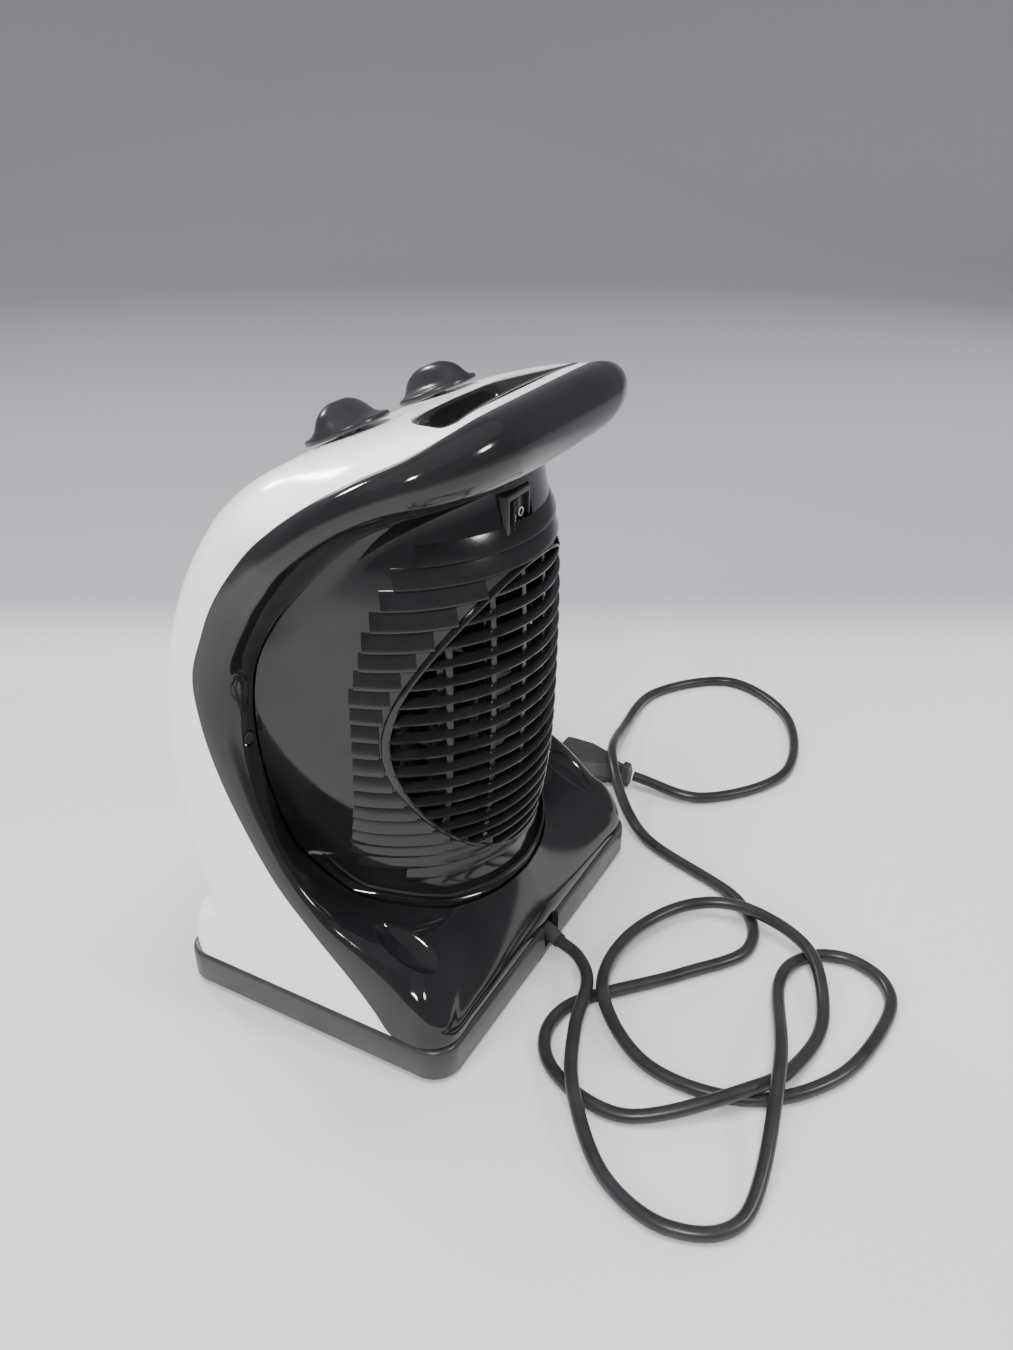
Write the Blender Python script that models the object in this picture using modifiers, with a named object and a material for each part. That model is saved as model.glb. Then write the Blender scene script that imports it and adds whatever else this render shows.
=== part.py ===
"""Ceramic fan heater: white front shell, black rear frame with carry handle, louvred rear cover, base tray,
two top knobs, rear rocker switch, PTC elements, axial fan, tip-over switch and a mains cord with its plug.

Frame: +Z up, the front faces -Y, the origin is at the centre of the footprint on the floor.
Every length below is in millimetres, and MM turns it into the metres that Blender uses."""

import math

import bmesh
import bpy
from mathutils import Matrix, Vector

MM = 0.001
GAP = 0.35  # clearance between touching mouldings

# Base tray
TRAY_WIDTH = 200.0
TRAY_DEPTH = 148.0
TRAY_CORNER = 13.0
TRAY_BOTTOM = 2.0
TRAY_TOP = 18.4
TRAY_WALL = 2.4
FOOT_RADIUS = 7.0
FOOT_PLACES = [(84.0, -58.0), (-84.0, -58.0), (84.0, 58.0), (-84.0, 58.0)]

# Body mouldings
SHELL_WALL = 2.2
FRAME_WALL = 2.4
BODY_HALF_WIDTH = 98.5
BODY_BOTTOM = TRAY_TOP + GAP

# Stations up the front and over the top: (y, z) on the centre line, then (x, y, z) where the white shell
# meets the black frame on the side, then the radius of the rounded edge between them. Where that radius is 0
# the section bends gently all the way, as SHOULDER_SHARES and SHOULDER_POWER say.
STATIONS = [
    ((-72.5, BODY_BOTTOM), (98.5, 46.0, BODY_BOTTOM), 14),
    ((-73.0, 30.0), (98.5, 37.0, 30.0), 15),
    ((-69.5, 41.0), (98.5, 27.5, 41.0), 16),
    ((-61.0, 50.5), (98.5, 18.0, 50.5), 17),
    ((-63.5, 60.0), (98.5, 8.5, 60.0), 19),
    ((-69.5, 80.0), (98.5, -9.5, 80.5), 20),
    ((-73.0, 104.0), (98.5, -24.0, 106.0), 21),
    ((-74.0, 130.0), (98.5, -34.5, 131.0), 22),
    ((-71.0, 158.0), (98.5, -40.0, 155.0), 23),
    ((-66.0, 182.0), (98.5, -40.3, 175.0), 24),
    ((-58.0, 205.0), (98.5, -32.8, 194.0), 26),
    ((-46.5, 226.0), (98.5, -24.6, 210.0), 28),
    ((-31.0, 246.0), (98.5, -12.2, 226.5), 31),
    ((-12.0, 259.3), (97.8, 1.2, 240.6), 34),
    ((8.0, 267.0), (92.6, 16.6, 253.2), 0),
    ((30.0, 274.0), (84.5, 35.0, 264.6), 0),
    ((46.0, 278.0), (74.5, 49.6, 271.9), 0),
    ((56.0, 280.3), (62.0, 57.8, 277.3), 0),
    ((63.6, 282.2), (47.0, 62.6, 281.3), 0),
]

SHOULDER_SHARES = [0.0, 0.25, 0.48, 0.64, 0.74, 0.82, 0.88, 0.925, 0.96, 0.98, 1.0]
SHOULDER_POWER = 6.4

# The frame's inner edge (the groove round the rear cover), one point for each station above, and how far
# the frame's side face runs on from the seam before it turns inwards.
GROOVE = [
    ((47.0, 46.0, 51.9), 29.0),
    ((54.0, 38.0, 54.0), 26.0),
    ((60.0, 28.0, 56.2), 24.0),
    ((65.0, 18.5, 58.6), 22.0),
    ((68.5, 7.0, 61.8), 18.5),
    ((72.0, -18.0, 80.0), 16.0),
    ((77.0, -23.5, 104.0), 16.0),
    ((80.5, -26.0, 130.0), 15.0),
    ((81.5, -26.0, 156.0), 15.0),
    ((79.5, -23.0, 177.0), 16.0),
    ((75.0, -14.0, 196.0), 18.0),
    ((72.0, -4.0, 208.0), 20.0),
    ((69.5, 7.0, 220.0), 22.0),
    ((65.0, 19.0, 231.0), 23.0),
    ((60.0, 31.0, 240.0), 24.0),
    ((54.0, 41.0, 246.0), 25.0),
    ((44.0, 50.0, 250.5), 25.0),
    ((32.0, 55.5, 252.5), 24.0),
    ((20.0, 58.0, 253.2), 22.0),
]
# Where the side face turns in: (y, z) for each of the lower stations
RIDGE = [(55.5, 48.5), (45.0, 56.0), (36.0, 61.5), (26.0, 67.0), (17.0, 73.0), (3.0, 90.0), (-8.5, 111.0),
         (-17.5, 133.0)]
# The groove from the middle of the rear rim round to the base's rear corner, and the rim's height there.
RIM_GROOVE = [
    ((0.0, 61.3, 49.0), 5.5),
    ((12.0, 60.2, 49.3), 5.5),
    ((22.0, 58.2, 49.7), 5.5),
    ((31.0, 55.0, 50.2), 5.8),
    ((36.0, 52.6, 50.6), 6.8),
    ((39.5, 50.8, 50.9), 11.5),
    ((42.5, 49.0, 51.3), 18.5),
    ((45.0, 47.4, 51.6), 25.5),
]
SEAM_LAND = 1.6
# The station from which the frame swells into the handle's tube, and how far its control points stand
# off the seam
TUBE_FROM = 11
TUBE_OUT = (21.5, 23.5)
TUBE_DROP = (5.8, 31.0)
HANDLE_SHARES = (0.88, 0.64, 0.32, 0.0)
HANDLE_GROOVE = (59.5, 253.6)

# Rear cover: the barrel's radius at heights, its centre line, and the intake
BARREL_CENTRE_Y = -5.0
BARREL = [(48.5, 66.5), (53.0, 63.2), (60.0, 61.6), (72.0, 62.8), (87.0, 65.5), (110.0, 68.2), (136.0, 69.4),
          (162.0, 69.9), (186.0, 70.0), (205.0, 69.4), (218.0, 68.1), (229.0, 66.4), (240.0, 64.2), (252.6, 62.5)]
COVER_WALL = 2.2
COVER_HEIGHTS = [61.8, 63.2, 66.0, 72.0, 87.0, 110.0, 140.0, 172.0, 200.0, 212.0, 222.0, 230.0, 236.0, 238.8,
                 240.0]
SLOT_PITCH = 8.45
SLOT_HEIGHT = 5.4
SLOT_COUNT = 17
INTAKE_Z = 142.0
INTAKE_HALF = (62.0, 71.0)
RIB_PLACES = [-45.0, -27.0, -9.0, 9.0, 27.0, 45.0]
GUARD_HEIGHTS = [66.0, 86.0, 112.0, 142.0, 172.0, 198.0, 216.0]
GUARD_REACH = 57.5

COVER_SCREWS = [(86.4, -24.0, 144.0), (61.5, 37.0, 247.0)]

# Front outlet and the bezel round it
OUTLET_HALF = (66.0, 64.0)
OUTLET_Z = 132.0
OUTLET_CORNER = 24.0
# The bezel's section: how far outside the outlet's outline, and how far behind the shell's front
BEZEL_SECTION = [(-GAP, 3.0), (-GAP, -0.5), (5.0, -0.5), (5.0, -3.0), (2.5, -6.5), (-1.2, -6.5), (-3.6, -3.0),
                 (-3.6, 3.0)]

# Grip pocket behind the knobs, right half of its outline
TOP_SLOPE = math.radians(16.5)
POCKET_FLOOR = 254.0
POCKET_WALL = 1.8
POCKET_OUTLINE = [(0.0, 26.0), (22.0, 26.4), (36.0, 29.0), (46.0, 37.0), (52.0, 47.0), (54.0, 53.0), (50.0, 56.0),
                  (38.0, 55.2), (20.0, 54.8)]

# Knobs: (height, half length, half width) of the rings from flange to grip, and the flat round seat under each
KNOB_X = 33.5
KNOB_BASE = (-2.6, 263.3)
KNOB_TILT = math.radians(24.0)
KNOB_SEAT = 17.2
KNOB_RINGS = [(0.6, 17.4, 17.4), (1.1, 17.8, 17.8), (2.4, 17.8, 17.8), (2.9, 17.4, 17.2), (3.6, 17.1, 13.6),
              (5.0, 16.8, 10.8), (7.2, 15.9, 8.8), (9.6, 13.8, 7.0), (11.6, 10.2, 5.2), (12.9, 6.0, 3.0)]

# Rocker switch
ROCKER_X = 9.0
ROCKER_Z = 232.0
ROCKER_PIVOT_Y = 53.4
ROCKER_TILT = math.radians(-12.0)
ROCKER_OUTLINE = [(-6.3, 6.6), (0.0, 5.0), (6.3, 6.6), (6.3, 1.0), (2.0, -2.4), (-2.0, -2.4), (-6.3, 1.0)]

# Tip-over plunger under the tray
PLUNGER_X = 60.0
PLUNGER_Y = -28.0
PLUNGER_TRAVEL = 4.0

# Fan and heating elements, on one axis along Y
FAN_Z = 132.0
FAN_RADIUS = 50.0
FAN_BLADES = 7
ELEMENT_HEIGHT = 28.0
ELEMENT_PITCH = 34.0

# Mains cord
CORD_DIAMETER = 6.2
CORD_ROUTE = [
    (1.9, 80.8, 11.0), (7.2, 93.4, 10.7), (20.0, 104.0, 10.2), (48.0, 111.0, 9.8), (79.0, 125.0, 9.6),
    (107.0, 152.0, 4.2), (115.0, 184.0, 3.4), (95.0, 207.5, 3.4), (31.0, 199.5, 16.2), (-30.0, 182.6, 3.4),
    (-54.0, 189.5, 3.4), (-62.5, 208.0, 3.4), (-54.0, 227.0, 3.4), (-32.0, 233.0, 3.4), (12.0, 222.0, 3.4),
    (43.0, 191.0, 3.4), (47.0, 146.0, 4.0), (22.0, 113.0, 9.9), (-18.0, 107.5, 8.5), (-54.0, 124.0, 8.8),
    (-67.0, 152.0, 9.9), (-53.0, 189.0, 9.9), (-19.0, 206.5, 4.6), (12.0, 205.0, 4.8), (41.0, 192.5, 10.0),
    (76.0, 148.0, 3.4), (66.0, 107.0, 3.4), (33.0, 99.5, 3.4), (-12.0, 138.0, 3.4), (-46.0, 162.0, 3.4),
    (-79.0, 145.0, 3.4), (-106.0, 80.0, 4.5), (-148.0, 42.0, 19.4), (-205.0, 26.5, 8.5), (-263.0, 25.0, 3.4),
    (-303.0, 66.0, 3.4), (-274.0, 115.0, 3.4), (-208.0, 133.0, 3.4), (-158.5, 98.0, 3.6), (-153.0, 54.4, 8.0),
]
PLUG_AXIS = (-153.0, 8.0)
# Rings of the plug: (y, half width, half height)
PLUG_RINGS = [(51.8, 5.8, 7.0), (47.4, 6.2, 7.6), (47.2, 4.6, 5.6), (43.8, 5.2, 6.0), (40.0, 9.0, 6.8),
              (33.0, 13.5, 7.4), (22.0, 17.2, 7.8), (8.0, 17.4, 7.8), (4.0, 16.8, 7.4)]


def fresh_scene():
    """Removes every object, and makes the collections for the heater's parts and for the cutters."""
    for leftover in list(bpy.data.objects):
        bpy.data.objects.remove(leftover)
    found = []
    for name in ("ceramic_heater", "cutters"):
        collection = bpy.data.collections.new(name)
        bpy.context.scene.collection.children.link(collection)
        found.append(collection)
    return found


PARTS, CUTTERS = fresh_scene()


def plastic(name, colour, roughness, metallic=0.0):
    """A Principled BSDF material of one colour."""
    material = bpy.data.materials.new(name)
    material.use_nodes = True
    shader = material.node_tree.nodes["Principled BSDF"]
    shader.inputs["Base Color"].default_value = (*colour, 1.0)
    shader.inputs["Roughness"].default_value = roughness
    shader.inputs["Metallic"].default_value = metallic
    return material


WHITE = plastic("white_gloss", (0.86, 0.86, 0.87), 0.22)
BLACK = plastic("black_gloss", (0.015, 0.015, 0.017), 0.16)
SATIN = plastic("black_satin", (0.035, 0.035, 0.038), 0.38)
RUBBER = plastic("black_rubber", (0.03, 0.03, 0.03), 0.7)
PVC = plastic("cord_pvc", (0.025, 0.025, 0.027), 0.42)
GREY = plastic("grey_nylon", (0.32, 0.32, 0.31), 0.5)
STEEL = plastic("zinc_steel", (0.6, 0.6, 0.62), 0.35, 1.0)
BRASS = plastic("nickel_brass", (0.75, 0.72, 0.66), 0.28, 1.0)
ALUMINIUM = plastic("aluminium_fin", (0.78, 0.78, 0.8), 0.35, 1.0)


def add_object(name, mesh, material, helper=False):
    """Links a mesh as a named object, shaded smooth. A helper is a cutter or is joined on."""
    mesh.shade_smooth()
    mesh.set_sharp_from_angle(angle=math.radians(35))
    part = bpy.data.objects.new(name, mesh)
    (CUTTERS if helper else PARTS).objects.link(part)
    if helper:
        part.hide_render = True
        part.display_type = "WIRE"
    else:
        mesh.materials.append(material)
    return part


def mesh_of(bm, name):
    """The bmesh as a mesh whose faces all point outwards."""
    bmesh.ops.recalc_face_normals(bm, faces=bm.faces)
    mesh = bpy.data.meshes.new(name)
    bm.to_mesh(mesh)
    bm.free()
    return mesh


def boolean(part, other, operation, solver="EXACT"):
    modifier = part.modifiers.new(f"{operation.lower()}_{other.name}", "BOOLEAN")
    modifier.operation = operation
    modifier.solver = solver
    modifier.object = other


def boxes(name, corners, material=None, bevel=0.0, helper=False):
    """One object of boxes, each given by its lowest and highest corner."""
    bm = bmesh.new()
    for low, high in corners:
        middle = [(a + b) / 2 * MM for a, b in zip(low, high)]
        sides = [(b - a) * MM for a, b in zip(low, high)]
        place = Matrix.Translation(middle) @ Matrix.Diagonal((*sides, 1.0))
        bmesh.ops.create_cube(bm, size=1.0, matrix=place)
    part = add_object(name, mesh_of(bm, name), material, helper)
    if bevel:
        edge = part.modifiers.new("edge", "BEVEL")
        edge.width = bevel * MM
        edge.segments = 2
    return part


def rods(name, ends, radius, material=None, sides=24, helper=False, tip=None):
    """One object of straight round rods, each between two points. tip is the radius at the second point."""
    bm = bmesh.new()
    for start, end in ends:
        start, end = Vector(start) * MM, Vector(end) * MM
        along = end - start
        place = Matrix.Translation((start + end) / 2) @ along.to_track_quat("Z", "Y").to_matrix().to_4x4()
        far = radius if tip is None else tip
        bmesh.ops.create_cone(bm, cap_ends=True, segments=sides, radius1=radius * MM, radius2=far * MM,
                              depth=along.length, matrix=place)
    return add_object(name, mesh_of(bm, name), material, helper)


def pivot(part, point):
    """Moves a part's origin to a point on the axis it turns about."""
    point = Vector(point) * MM
    part.data.transform(Matrix.Translation(-point))
    part.location = point


def turned(name, profile, place, material, sides=32, helper=False):
    """A turned solid: (radius, height) points from the top of the axis round the outside to its bottom."""
    mesh = bpy.data.meshes.new(name)
    points = [(radius * MM, 0.0, height * MM) for radius, height in profile]
    mesh.from_pydata(points, [(i, i + 1) for i in range(len(points) - 1)], [])
    part = add_object(name, mesh, material, helper)
    part.matrix_world = place
    screw = part.modifiers.new("turn", "SCREW")
    screw.steps = sides
    screw.render_steps = sides
    screw.use_merge_vertices = True
    screw.merge_threshold = 0.00001
    return part


def ring_loft(name, rings, material=None, helper=False, through=False):
    """A closed solid skinned over rings. Its end rings are capped, or joined if it is open through."""
    bm = bmesh.new()
    rows = [[bm.verts.new(Vector(point) * MM) for point in ring] for ring in rings]
    for lower, upper in zip(rows, rows[1:] + (rows[:1] if through else [])):
        for i in range(len(lower)):
            j = (i + 1) % len(lower)
            bm.faces.new((lower[i], lower[j], upper[j], upper[i]))
    if not through:
        bm.faces.new(rows[0])
        bm.faces.new(rows[-1])
    return add_object(name, mesh_of(bm, name), material, helper)


def half_skin(name, rows, wall, material, inward):
    """A shell from rows of points on its right half: the surface mirrored in X = 0, then made wall thick."""
    bm = bmesh.new()
    grid = [[bm.verts.new(Vector(point) * MM) for point in row] for row in rows]
    for lower, upper in zip(grid, grid[1:]):
        for i in range(len(lower) - 1):
            corners = (lower[i], lower[i + 1], upper[i + 1], upper[i])
            bm.faces.new(corners if inward else corners[::-1])
    mesh = bpy.data.meshes.new(name)
    bm.to_mesh(mesh)
    bm.free()
    part = add_object(name, mesh, material)
    mirror = part.modifiers.new("other_half", "MIRROR")
    mirror.use_clip = True
    mirror.merge_threshold = 0.00001
    thicken = part.modifiers.new("wall", "SOLIDIFY")
    thicken.thickness = wall * MM
    thicken.offset = -1.0
    return part


def spline(points, steps):
    """Points on a Catmull-Rom curve through the given ones, steps to each stretch."""
    points = [Vector(p) for p in points]
    ends = [2 * points[0] - points[1], *points, 2 * points[-1] - points[-2]]
    curve = []
    for i in range(1, len(points)):
        a, b, c, d = ends[i - 1 : i + 3]
        for k in range(steps):
            t = k / steps
            curve.append(0.5 * (2 * b + (c - a) * t + (2 * a - 5 * b + 4 * c - d) * t**2
                                + (3 * b - a - 3 * c + d) * t**3))
    return curve + [points[-1]]


def rounded_rectangle(half_x, half_y, radius, z, steps=5):
    """A ring of points round a rectangle with round corners, at one height."""
    ring = []
    for quarter, (sx, sy) in enumerate([(1, 1), (-1, 1), (-1, -1), (1, -1)]):
        for k in range(steps + 1):
            angle = math.pi / 2 * (quarter + k / steps)
            ring.append((sx * (half_x - radius) + radius * math.cos(angle),
                         sy * (half_y - radius) + radius * math.sin(angle), z))
    return ring


# --- white front shell -------------------------------------------------------------------------------------


def shell_section(front, seam, radius, flat_steps=3, arc_steps=4, side_steps=3):
    """One section of the white shell: across the front, round the edge and back along the side to the seam."""
    front_point = Vector((0.0, *front))
    seam = Vector(seam)
    back = Vector((0.0, seam.y - front[0], seam.z - front[1]))
    depth = back.length
    back.normalize()
    if radius == 0:
        points = [(seam.x * share, depth * share**SHOULDER_POWER) for share in SHOULDER_SHARES]
        return [front_point + Vector((x, 0.0, 0.0)) + back * inward for x, inward in points]
    crown = min(1.5, depth * 0.06)
    arc_depth = min(radius, depth * 0.97) - crown
    flat = seam.x - radius
    points = []
    for k in range(flat_steps):
        x = flat * k / flat_steps
        points.append((x, crown * (x / flat) ** 2))
    for k in range(arc_steps + 1):
        angle = math.pi / 2 * k / arc_steps
        points.append((flat + radius * math.sin(angle), crown + arc_depth * (1 - math.cos(angle))))
    reached = crown + arc_depth
    for k in range(1, side_steps + 1):
        points.append((seam.x, reached + (depth - reached) * k / side_steps))
    return [front_point + Vector((x, 0.0, 0.0)) + back * inward for x, inward in points]


def make_front_shell():
    rows = [shell_section(*station) for station in STATIONS]
    shell = half_skin("front_shell", rows, SHELL_WALL, WHITE, inward=True)
    outlet = ring_loft("outlet_cutter", [outlet_ring(-95.0, 0.0), outlet_ring(-50.0, 0.0)], helper=True)
    boolean(shell, outlet, "DIFFERENCE", "MANIFOLD")
    slot = ring_loft("slot_cutter", [pocket_ring(GAP, 240.0), pocket_ring(GAP, 300.0)], helper=True)
    boolean(shell, slot, "DIFFERENCE", "MANIFOLD")
    for side in (-1, 1):
        ends = (knob_point(side, -4.0), knob_point(side, 0.6 - GAP))
        seat = rods(f"knob_seat_{side}", [ends], KNOB_SEAT, helper=True)
        boolean(shell, seat, "UNION", "MANIFOLD")
        hole = rods(f"shaft_hole_{side}", [(knob_point(side, -15.0), knob_point(side, 15.0))], 5.0, helper=True)
        boolean(shell, hole, "DIFFERENCE", "MANIFOLD")
    return shell


# --- front outlet ------------------------------------------------------------------------------------------

def outlet_ring(y, grow):
    """The outlet's outline, a rounded rectangle that stands upright at depth y."""
    flat = rounded_rectangle(OUTLET_HALF[0] + grow, OUTLET_HALF[1] + grow, OUTLET_CORNER, 0.0)
    return [(x, y, OUTLET_Z + up) for x, up, _ in flat]


def front_depth(z):
    """How far forward the white shell's centre line is at a height."""
    fronts = [front for front, _, _ in STATIONS]
    for (y, low), (next_y, high) in zip(fronts, fronts[1:]):
        if z <= high:
            return y + (next_y - y) * (z - low) / (high - low)
    return fronts[-1][0]


def make_front_bezel():
    """The raised rim round the outlet, its collar set into the shell."""
    rings = []
    for grow, behind in BEZEL_SECTION:
        ring = []
        outline = outlet_ring(0.0, grow)
        for point, after in zip(outline, outline[1:] + outline[:1]):
            parts = 6 if abs(after[2] - point[2]) > 40.0 else 1
            for k in range(parts):
                z = point[2] + (after[2] - point[2]) * k / parts
                x = point[0] + (after[0] - point[0]) * k / parts
                ring.append((x, front_depth(z) + behind, z))
        rings.append(ring)
    ring_loft("front_bezel", rings, BLACK, through=True)


def make_front_grille():
    """A curved plate just inside the outlet, with rows of slots."""
    fronts = [front for front, _, _ in STATIONS if 59.0 < front[1] < 206.0]
    rows = []
    for y, z in fronts:
        rows.append([(x, y + SHELL_WALL + 1.6 + 2.2 * (x / 78.0) ** 2, z) for x in (0.0, 26.0, 52.0, 76.0)])
    grille = half_skin("front_grille", rows, 2.0, BLACK, inward=True)
    slots = []
    for row in range(9):
        low = OUTLET_Z - 54.0 + row * 12.4
        for left in (-60.0, 1.8):
            slots.append(((left, -90.0, low), (left + 58.2, -40.0, low + 8.6)))
    boolean(grille, boxes("grille_slots", slots, helper=True), "DIFFERENCE")
    return grille


# --- black rear frame --------------------------------------------------------------------------------------


def bezier(points, weight, t):
    """A point on the cubic curve of four control points. A weight over 1 draws it towards the middle two."""
    shares = [(1 - t) ** 3, 3 * weight * t * (1 - t) ** 2, 3 * weight * t**2 * (1 - t), t**3]
    total = Vector((0.0, 0.0, 0.0))
    for share, point in zip(shares, points):
        total += point * share
    return total / sum(shares)


def frame_section(start, corner_a, corner_b, groove, weight, steps=6):
    """One section of the frame: on from the seam for a little, then round its outer corner to the groove."""
    ahead = start + (corner_a - start).normalized() * SEAM_LAND
    control = (ahead, corner_a, corner_b, groove)
    return [start] + [bezier(control, weight, k / steps) for k in range(steps + 1)]


def section_along(start, corner, groove, tightness):
    """Control points and weight of one section. tightness 0 turns it evenly, 1 folds it at its corner."""
    hug = 0.68 + 0.2 * tightness
    return start, start.lerp(corner, hug), corner.lerp(groove, 1 - hug), groove, 1.0 + 1.6 * tightness


def rim_sections():
    """Sections of the skirt, from the middle of the rear rim round to the rear corner."""
    half_depth = TRAY_DEPTH / 2 - 1.5
    middle = (BODY_HALF_WIDTH - TRAY_CORNER, half_depth - TRAY_CORNER)
    places = [(x, half_depth) for x in (0.0, 24.0, 48.0, 70.0)]
    for angle in (85.0, 60.0, 32.0, 5.0):
        turn = math.radians(angle)
        places.append((middle[0] + TRAY_CORNER * math.cos(turn), middle[1] + TRAY_CORNER * math.sin(turn)))
    sections = []
    for (x, y), (groove, height) in zip(places, RIM_GROOVE):
        corner = Vector((x, y, BODY_BOTTOM + height))
        sections.append(section_along(Vector((x, y, BODY_BOTTOM)), corner, Vector(groove), 0.8))
    return sections


def shell_normal(i):
    """The way the white shell faces where it meets the seam, at a station."""
    front, seam, radius = STATIONS[i]
    if radius:
        turned = max(0.0, (i - 9) / 5.0) ** 2
        return Vector((1.0, 0.0, 0.0)).lerp(shell_normal(14), turned).normalized()
    up = Vector((0.0, *STATIONS[min(i + 1, len(STATIONS) - 1)][0])) - Vector((0.0, *STATIONS[i - 1][0]))
    inward = Vector((0.0, seam[1] - front[0], seam[2] - front[1]))
    slope = math.atan(SHOULDER_POWER * inward.length / seam[0])
    across = Vector((math.cos(slope), 0.0, 0.0)) + inward.normalized() * math.sin(slope)
    return across.cross(up).normalized()


def handle_seam(share):
    """The seam along the handle, at a share of the way from its middle to the shoulder."""
    (front_y, front_z), (half, side_y, side_z), _ = STATIONS[-1]
    sag = share**SHOULDER_POWER
    return Vector((half * share, front_y + (side_y - front_y) * sag, front_z + (side_z - front_z) * sag))


def side_sections():
    """Sections from the base's rear corner up the side and over the shoulder."""
    seams = [Vector(seam) for _, seam, _ in STATIONS] + [handle_seam(HANDLE_SHARES[0])]
    sections = []
    for i, (groove, run) in enumerate(GROOVE):
        along = (seams[i + 1] - seams[max(i - 1, 0)]).normalized()
        back = along.cross(shell_normal(i)).normalized()
        start = seams[i] + back * GAP
        if i == 0:
            start = seams[i] + Vector((0.0, GAP * 1.6, 0.0))
        corner = Vector((BODY_HALF_WIDTH, *RIDGE[i])) if i < len(RIDGE) else start + back * run
        tightness = max(0.0, min(0.8, 1.2 - i * 0.16))
        start, near, far, end, weight = section_along(start, corner, Vector(groove), tightness)
        share = max(0.0, (i - TUBE_FROM) / (len(GROOVE) - 1 - TUBE_FROM))
        share = share * share * (3.0 - 2.0 * share)
        tube_near, tube_far = tube_corners(start, along, 0.6 + 0.4 * share)
        sections.append((start, near.lerp(tube_near, share), far.lerp(tube_far, share), end, weight))
    return sections


def tube_corners(start, along, reach):
    """The two control points that round the handle's tube, from the seam and the way it runs there."""
    out = along.cross(Vector((0.0, 0.0, 1.0))).normalized()
    down = along.cross(out)
    near = start + (out * TUBE_OUT[0] - down * TUBE_DROP[0]) * reach
    far = start + (out * TUBE_OUT[1] + down * TUBE_DROP[1]) * reach
    return near, far


def handle_sections():
    """Sections of the handle, from the shoulder to the middle."""
    sections = []
    for share in HANDLE_SHARES:
        start = handle_seam(share) + Vector((0.0, GAP, 0.0))
        along = (handle_seam(abs(share - 0.06)) - handle_seam(share + 0.06)).normalized()
        if share == 0.0:
            along = Vector((-1.0, 0.0, 0.0))
        near, far = tube_corners(start, along, 1.0)
        groove = Vector((start.x * 0.45, HANDLE_GROOVE[0] - share**2, HANDLE_GROOVE[1]))
        sections.append((start, near, far, groove, 1.0))
    return sections


def make_rear_frame():
    rows = [frame_section(*section) for section in rim_sections() + side_sections() + handle_sections()]
    frame = half_skin("rear_frame", rows, FRAME_WALL, BLACK, inward=True)
    for hole in cover_screw_holes():
        boolean(frame, hole, "DIFFERENCE", "MANIFOLD")
    recesses = [((side * 79.0, 44.0, 10.0), (side * 79.0, 44.0, 80.0)) for side in (-1, 1)]
    boolean(frame, rods("skirt_holes", recesses, 3.7, helper=True), "DIFFERENCE", "MANIFOLD")
    notch = boxes("rim_notch", [((-6.4, 66.0, 10.0), (6.4, 80.0, 21.0))], helper=True)
    boolean(frame, notch, "DIFFERENCE", "MANIFOLD")
    return frame


# --- black rear cover --------------------------------------------------------------------------------------


def barrel_radius(z):
    """The barrel's radius at a height, straight between the heights of BARREL."""
    for (low, small), (high, large) in zip(BARREL, BARREL[1:]):
        if z <= high:
            return small + (large - small) * max(0.0, (z - low) / (high - low))
    return BARREL[-1][1]


def groove_stretches():
    """The cover's edge, just inside the groove's right half: its stretches under, beside and over the cover."""
    path = [Vector(g) for g, _ in RIM_GROOVE + GROOVE] + [Vector((0.0, *HANDLE_GROOVE))]
    first, last = len(RIM_GROOVE) + 4, len(RIM_GROOVE) + 14
    edge = []
    for k, point in enumerate(path):
        axis = Vector((0.0, BARREL_CENTRE_Y, point.z))
        lift = 1.0 if k < first else -1.0 if k > last else 0.0
        edge.append(point + (axis - point).normalized() * 1.2 + Vector((0.0, 0.0, lift)))
    return edge[: first + 1], edge[first : last + 1], edge[last:]


def polar(point):
    """The angle of a point about the barrel's upright centre line."""
    return math.atan2(point.y - BARREL_CENTRE_Y, point.x)


def at_angle(path, angle):
    """The point where a stretch of groove passes an angle about the barrel's centre line."""
    ordered = sorted(path, key=polar)
    for low, high in zip(ordered, ordered[1:]):
        if angle <= polar(high):
            share = (angle - polar(low)) / (polar(high) - polar(low))
            return low.lerp(high, max(0.0, share))
    return ordered[-1]


def cover_row(edge, bottom, top, steps=7):
    """A row of the rear cover: round the barrel from the middle, then straight off it to the groove at edge.

    Towards the ends of the barrel the row bends to follow the groove below or above it."""
    under, _, over = groove_stretches()
    radius = barrel_radius(edge.z)
    distance = math.hypot(edge.x, edge.y - BARREL_CENTRE_Y)
    leave = polar(edge) + math.acos(min(1.0, radius / distance))
    angles = [math.pi / 2 + (leave - math.pi / 2) * k / steps for k in range(steps + 1)]
    tangent = Vector((radius * math.cos(leave), BARREL_CENTRE_Y + radius * math.sin(leave), edge.z))
    panel = [tangent.lerp(edge, share) for share in (0.5, 1.0)]
    points = []
    for angle in angles + [polar(point) for point in panel]:
        low, high = at_angle(under, angle), at_angle(over, angle)
        z = edge.z + (low.z - under[-1].z) * bottom + (high.z - over[0].z) * top
        around = barrel_radius(z)
        point = Vector((around * math.cos(angle), BARREL_CENTRE_Y + around * math.sin(angle), z))
        if len(points) > steps:
            point = Vector((*panel[len(points) - steps - 1].xy, z))
        for end, pull in ((low, bottom**6), (high, top**6)):
            point = point.lerp(end, pull)
        points.append(point)
    points[0].x = 0.0
    return points


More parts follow.
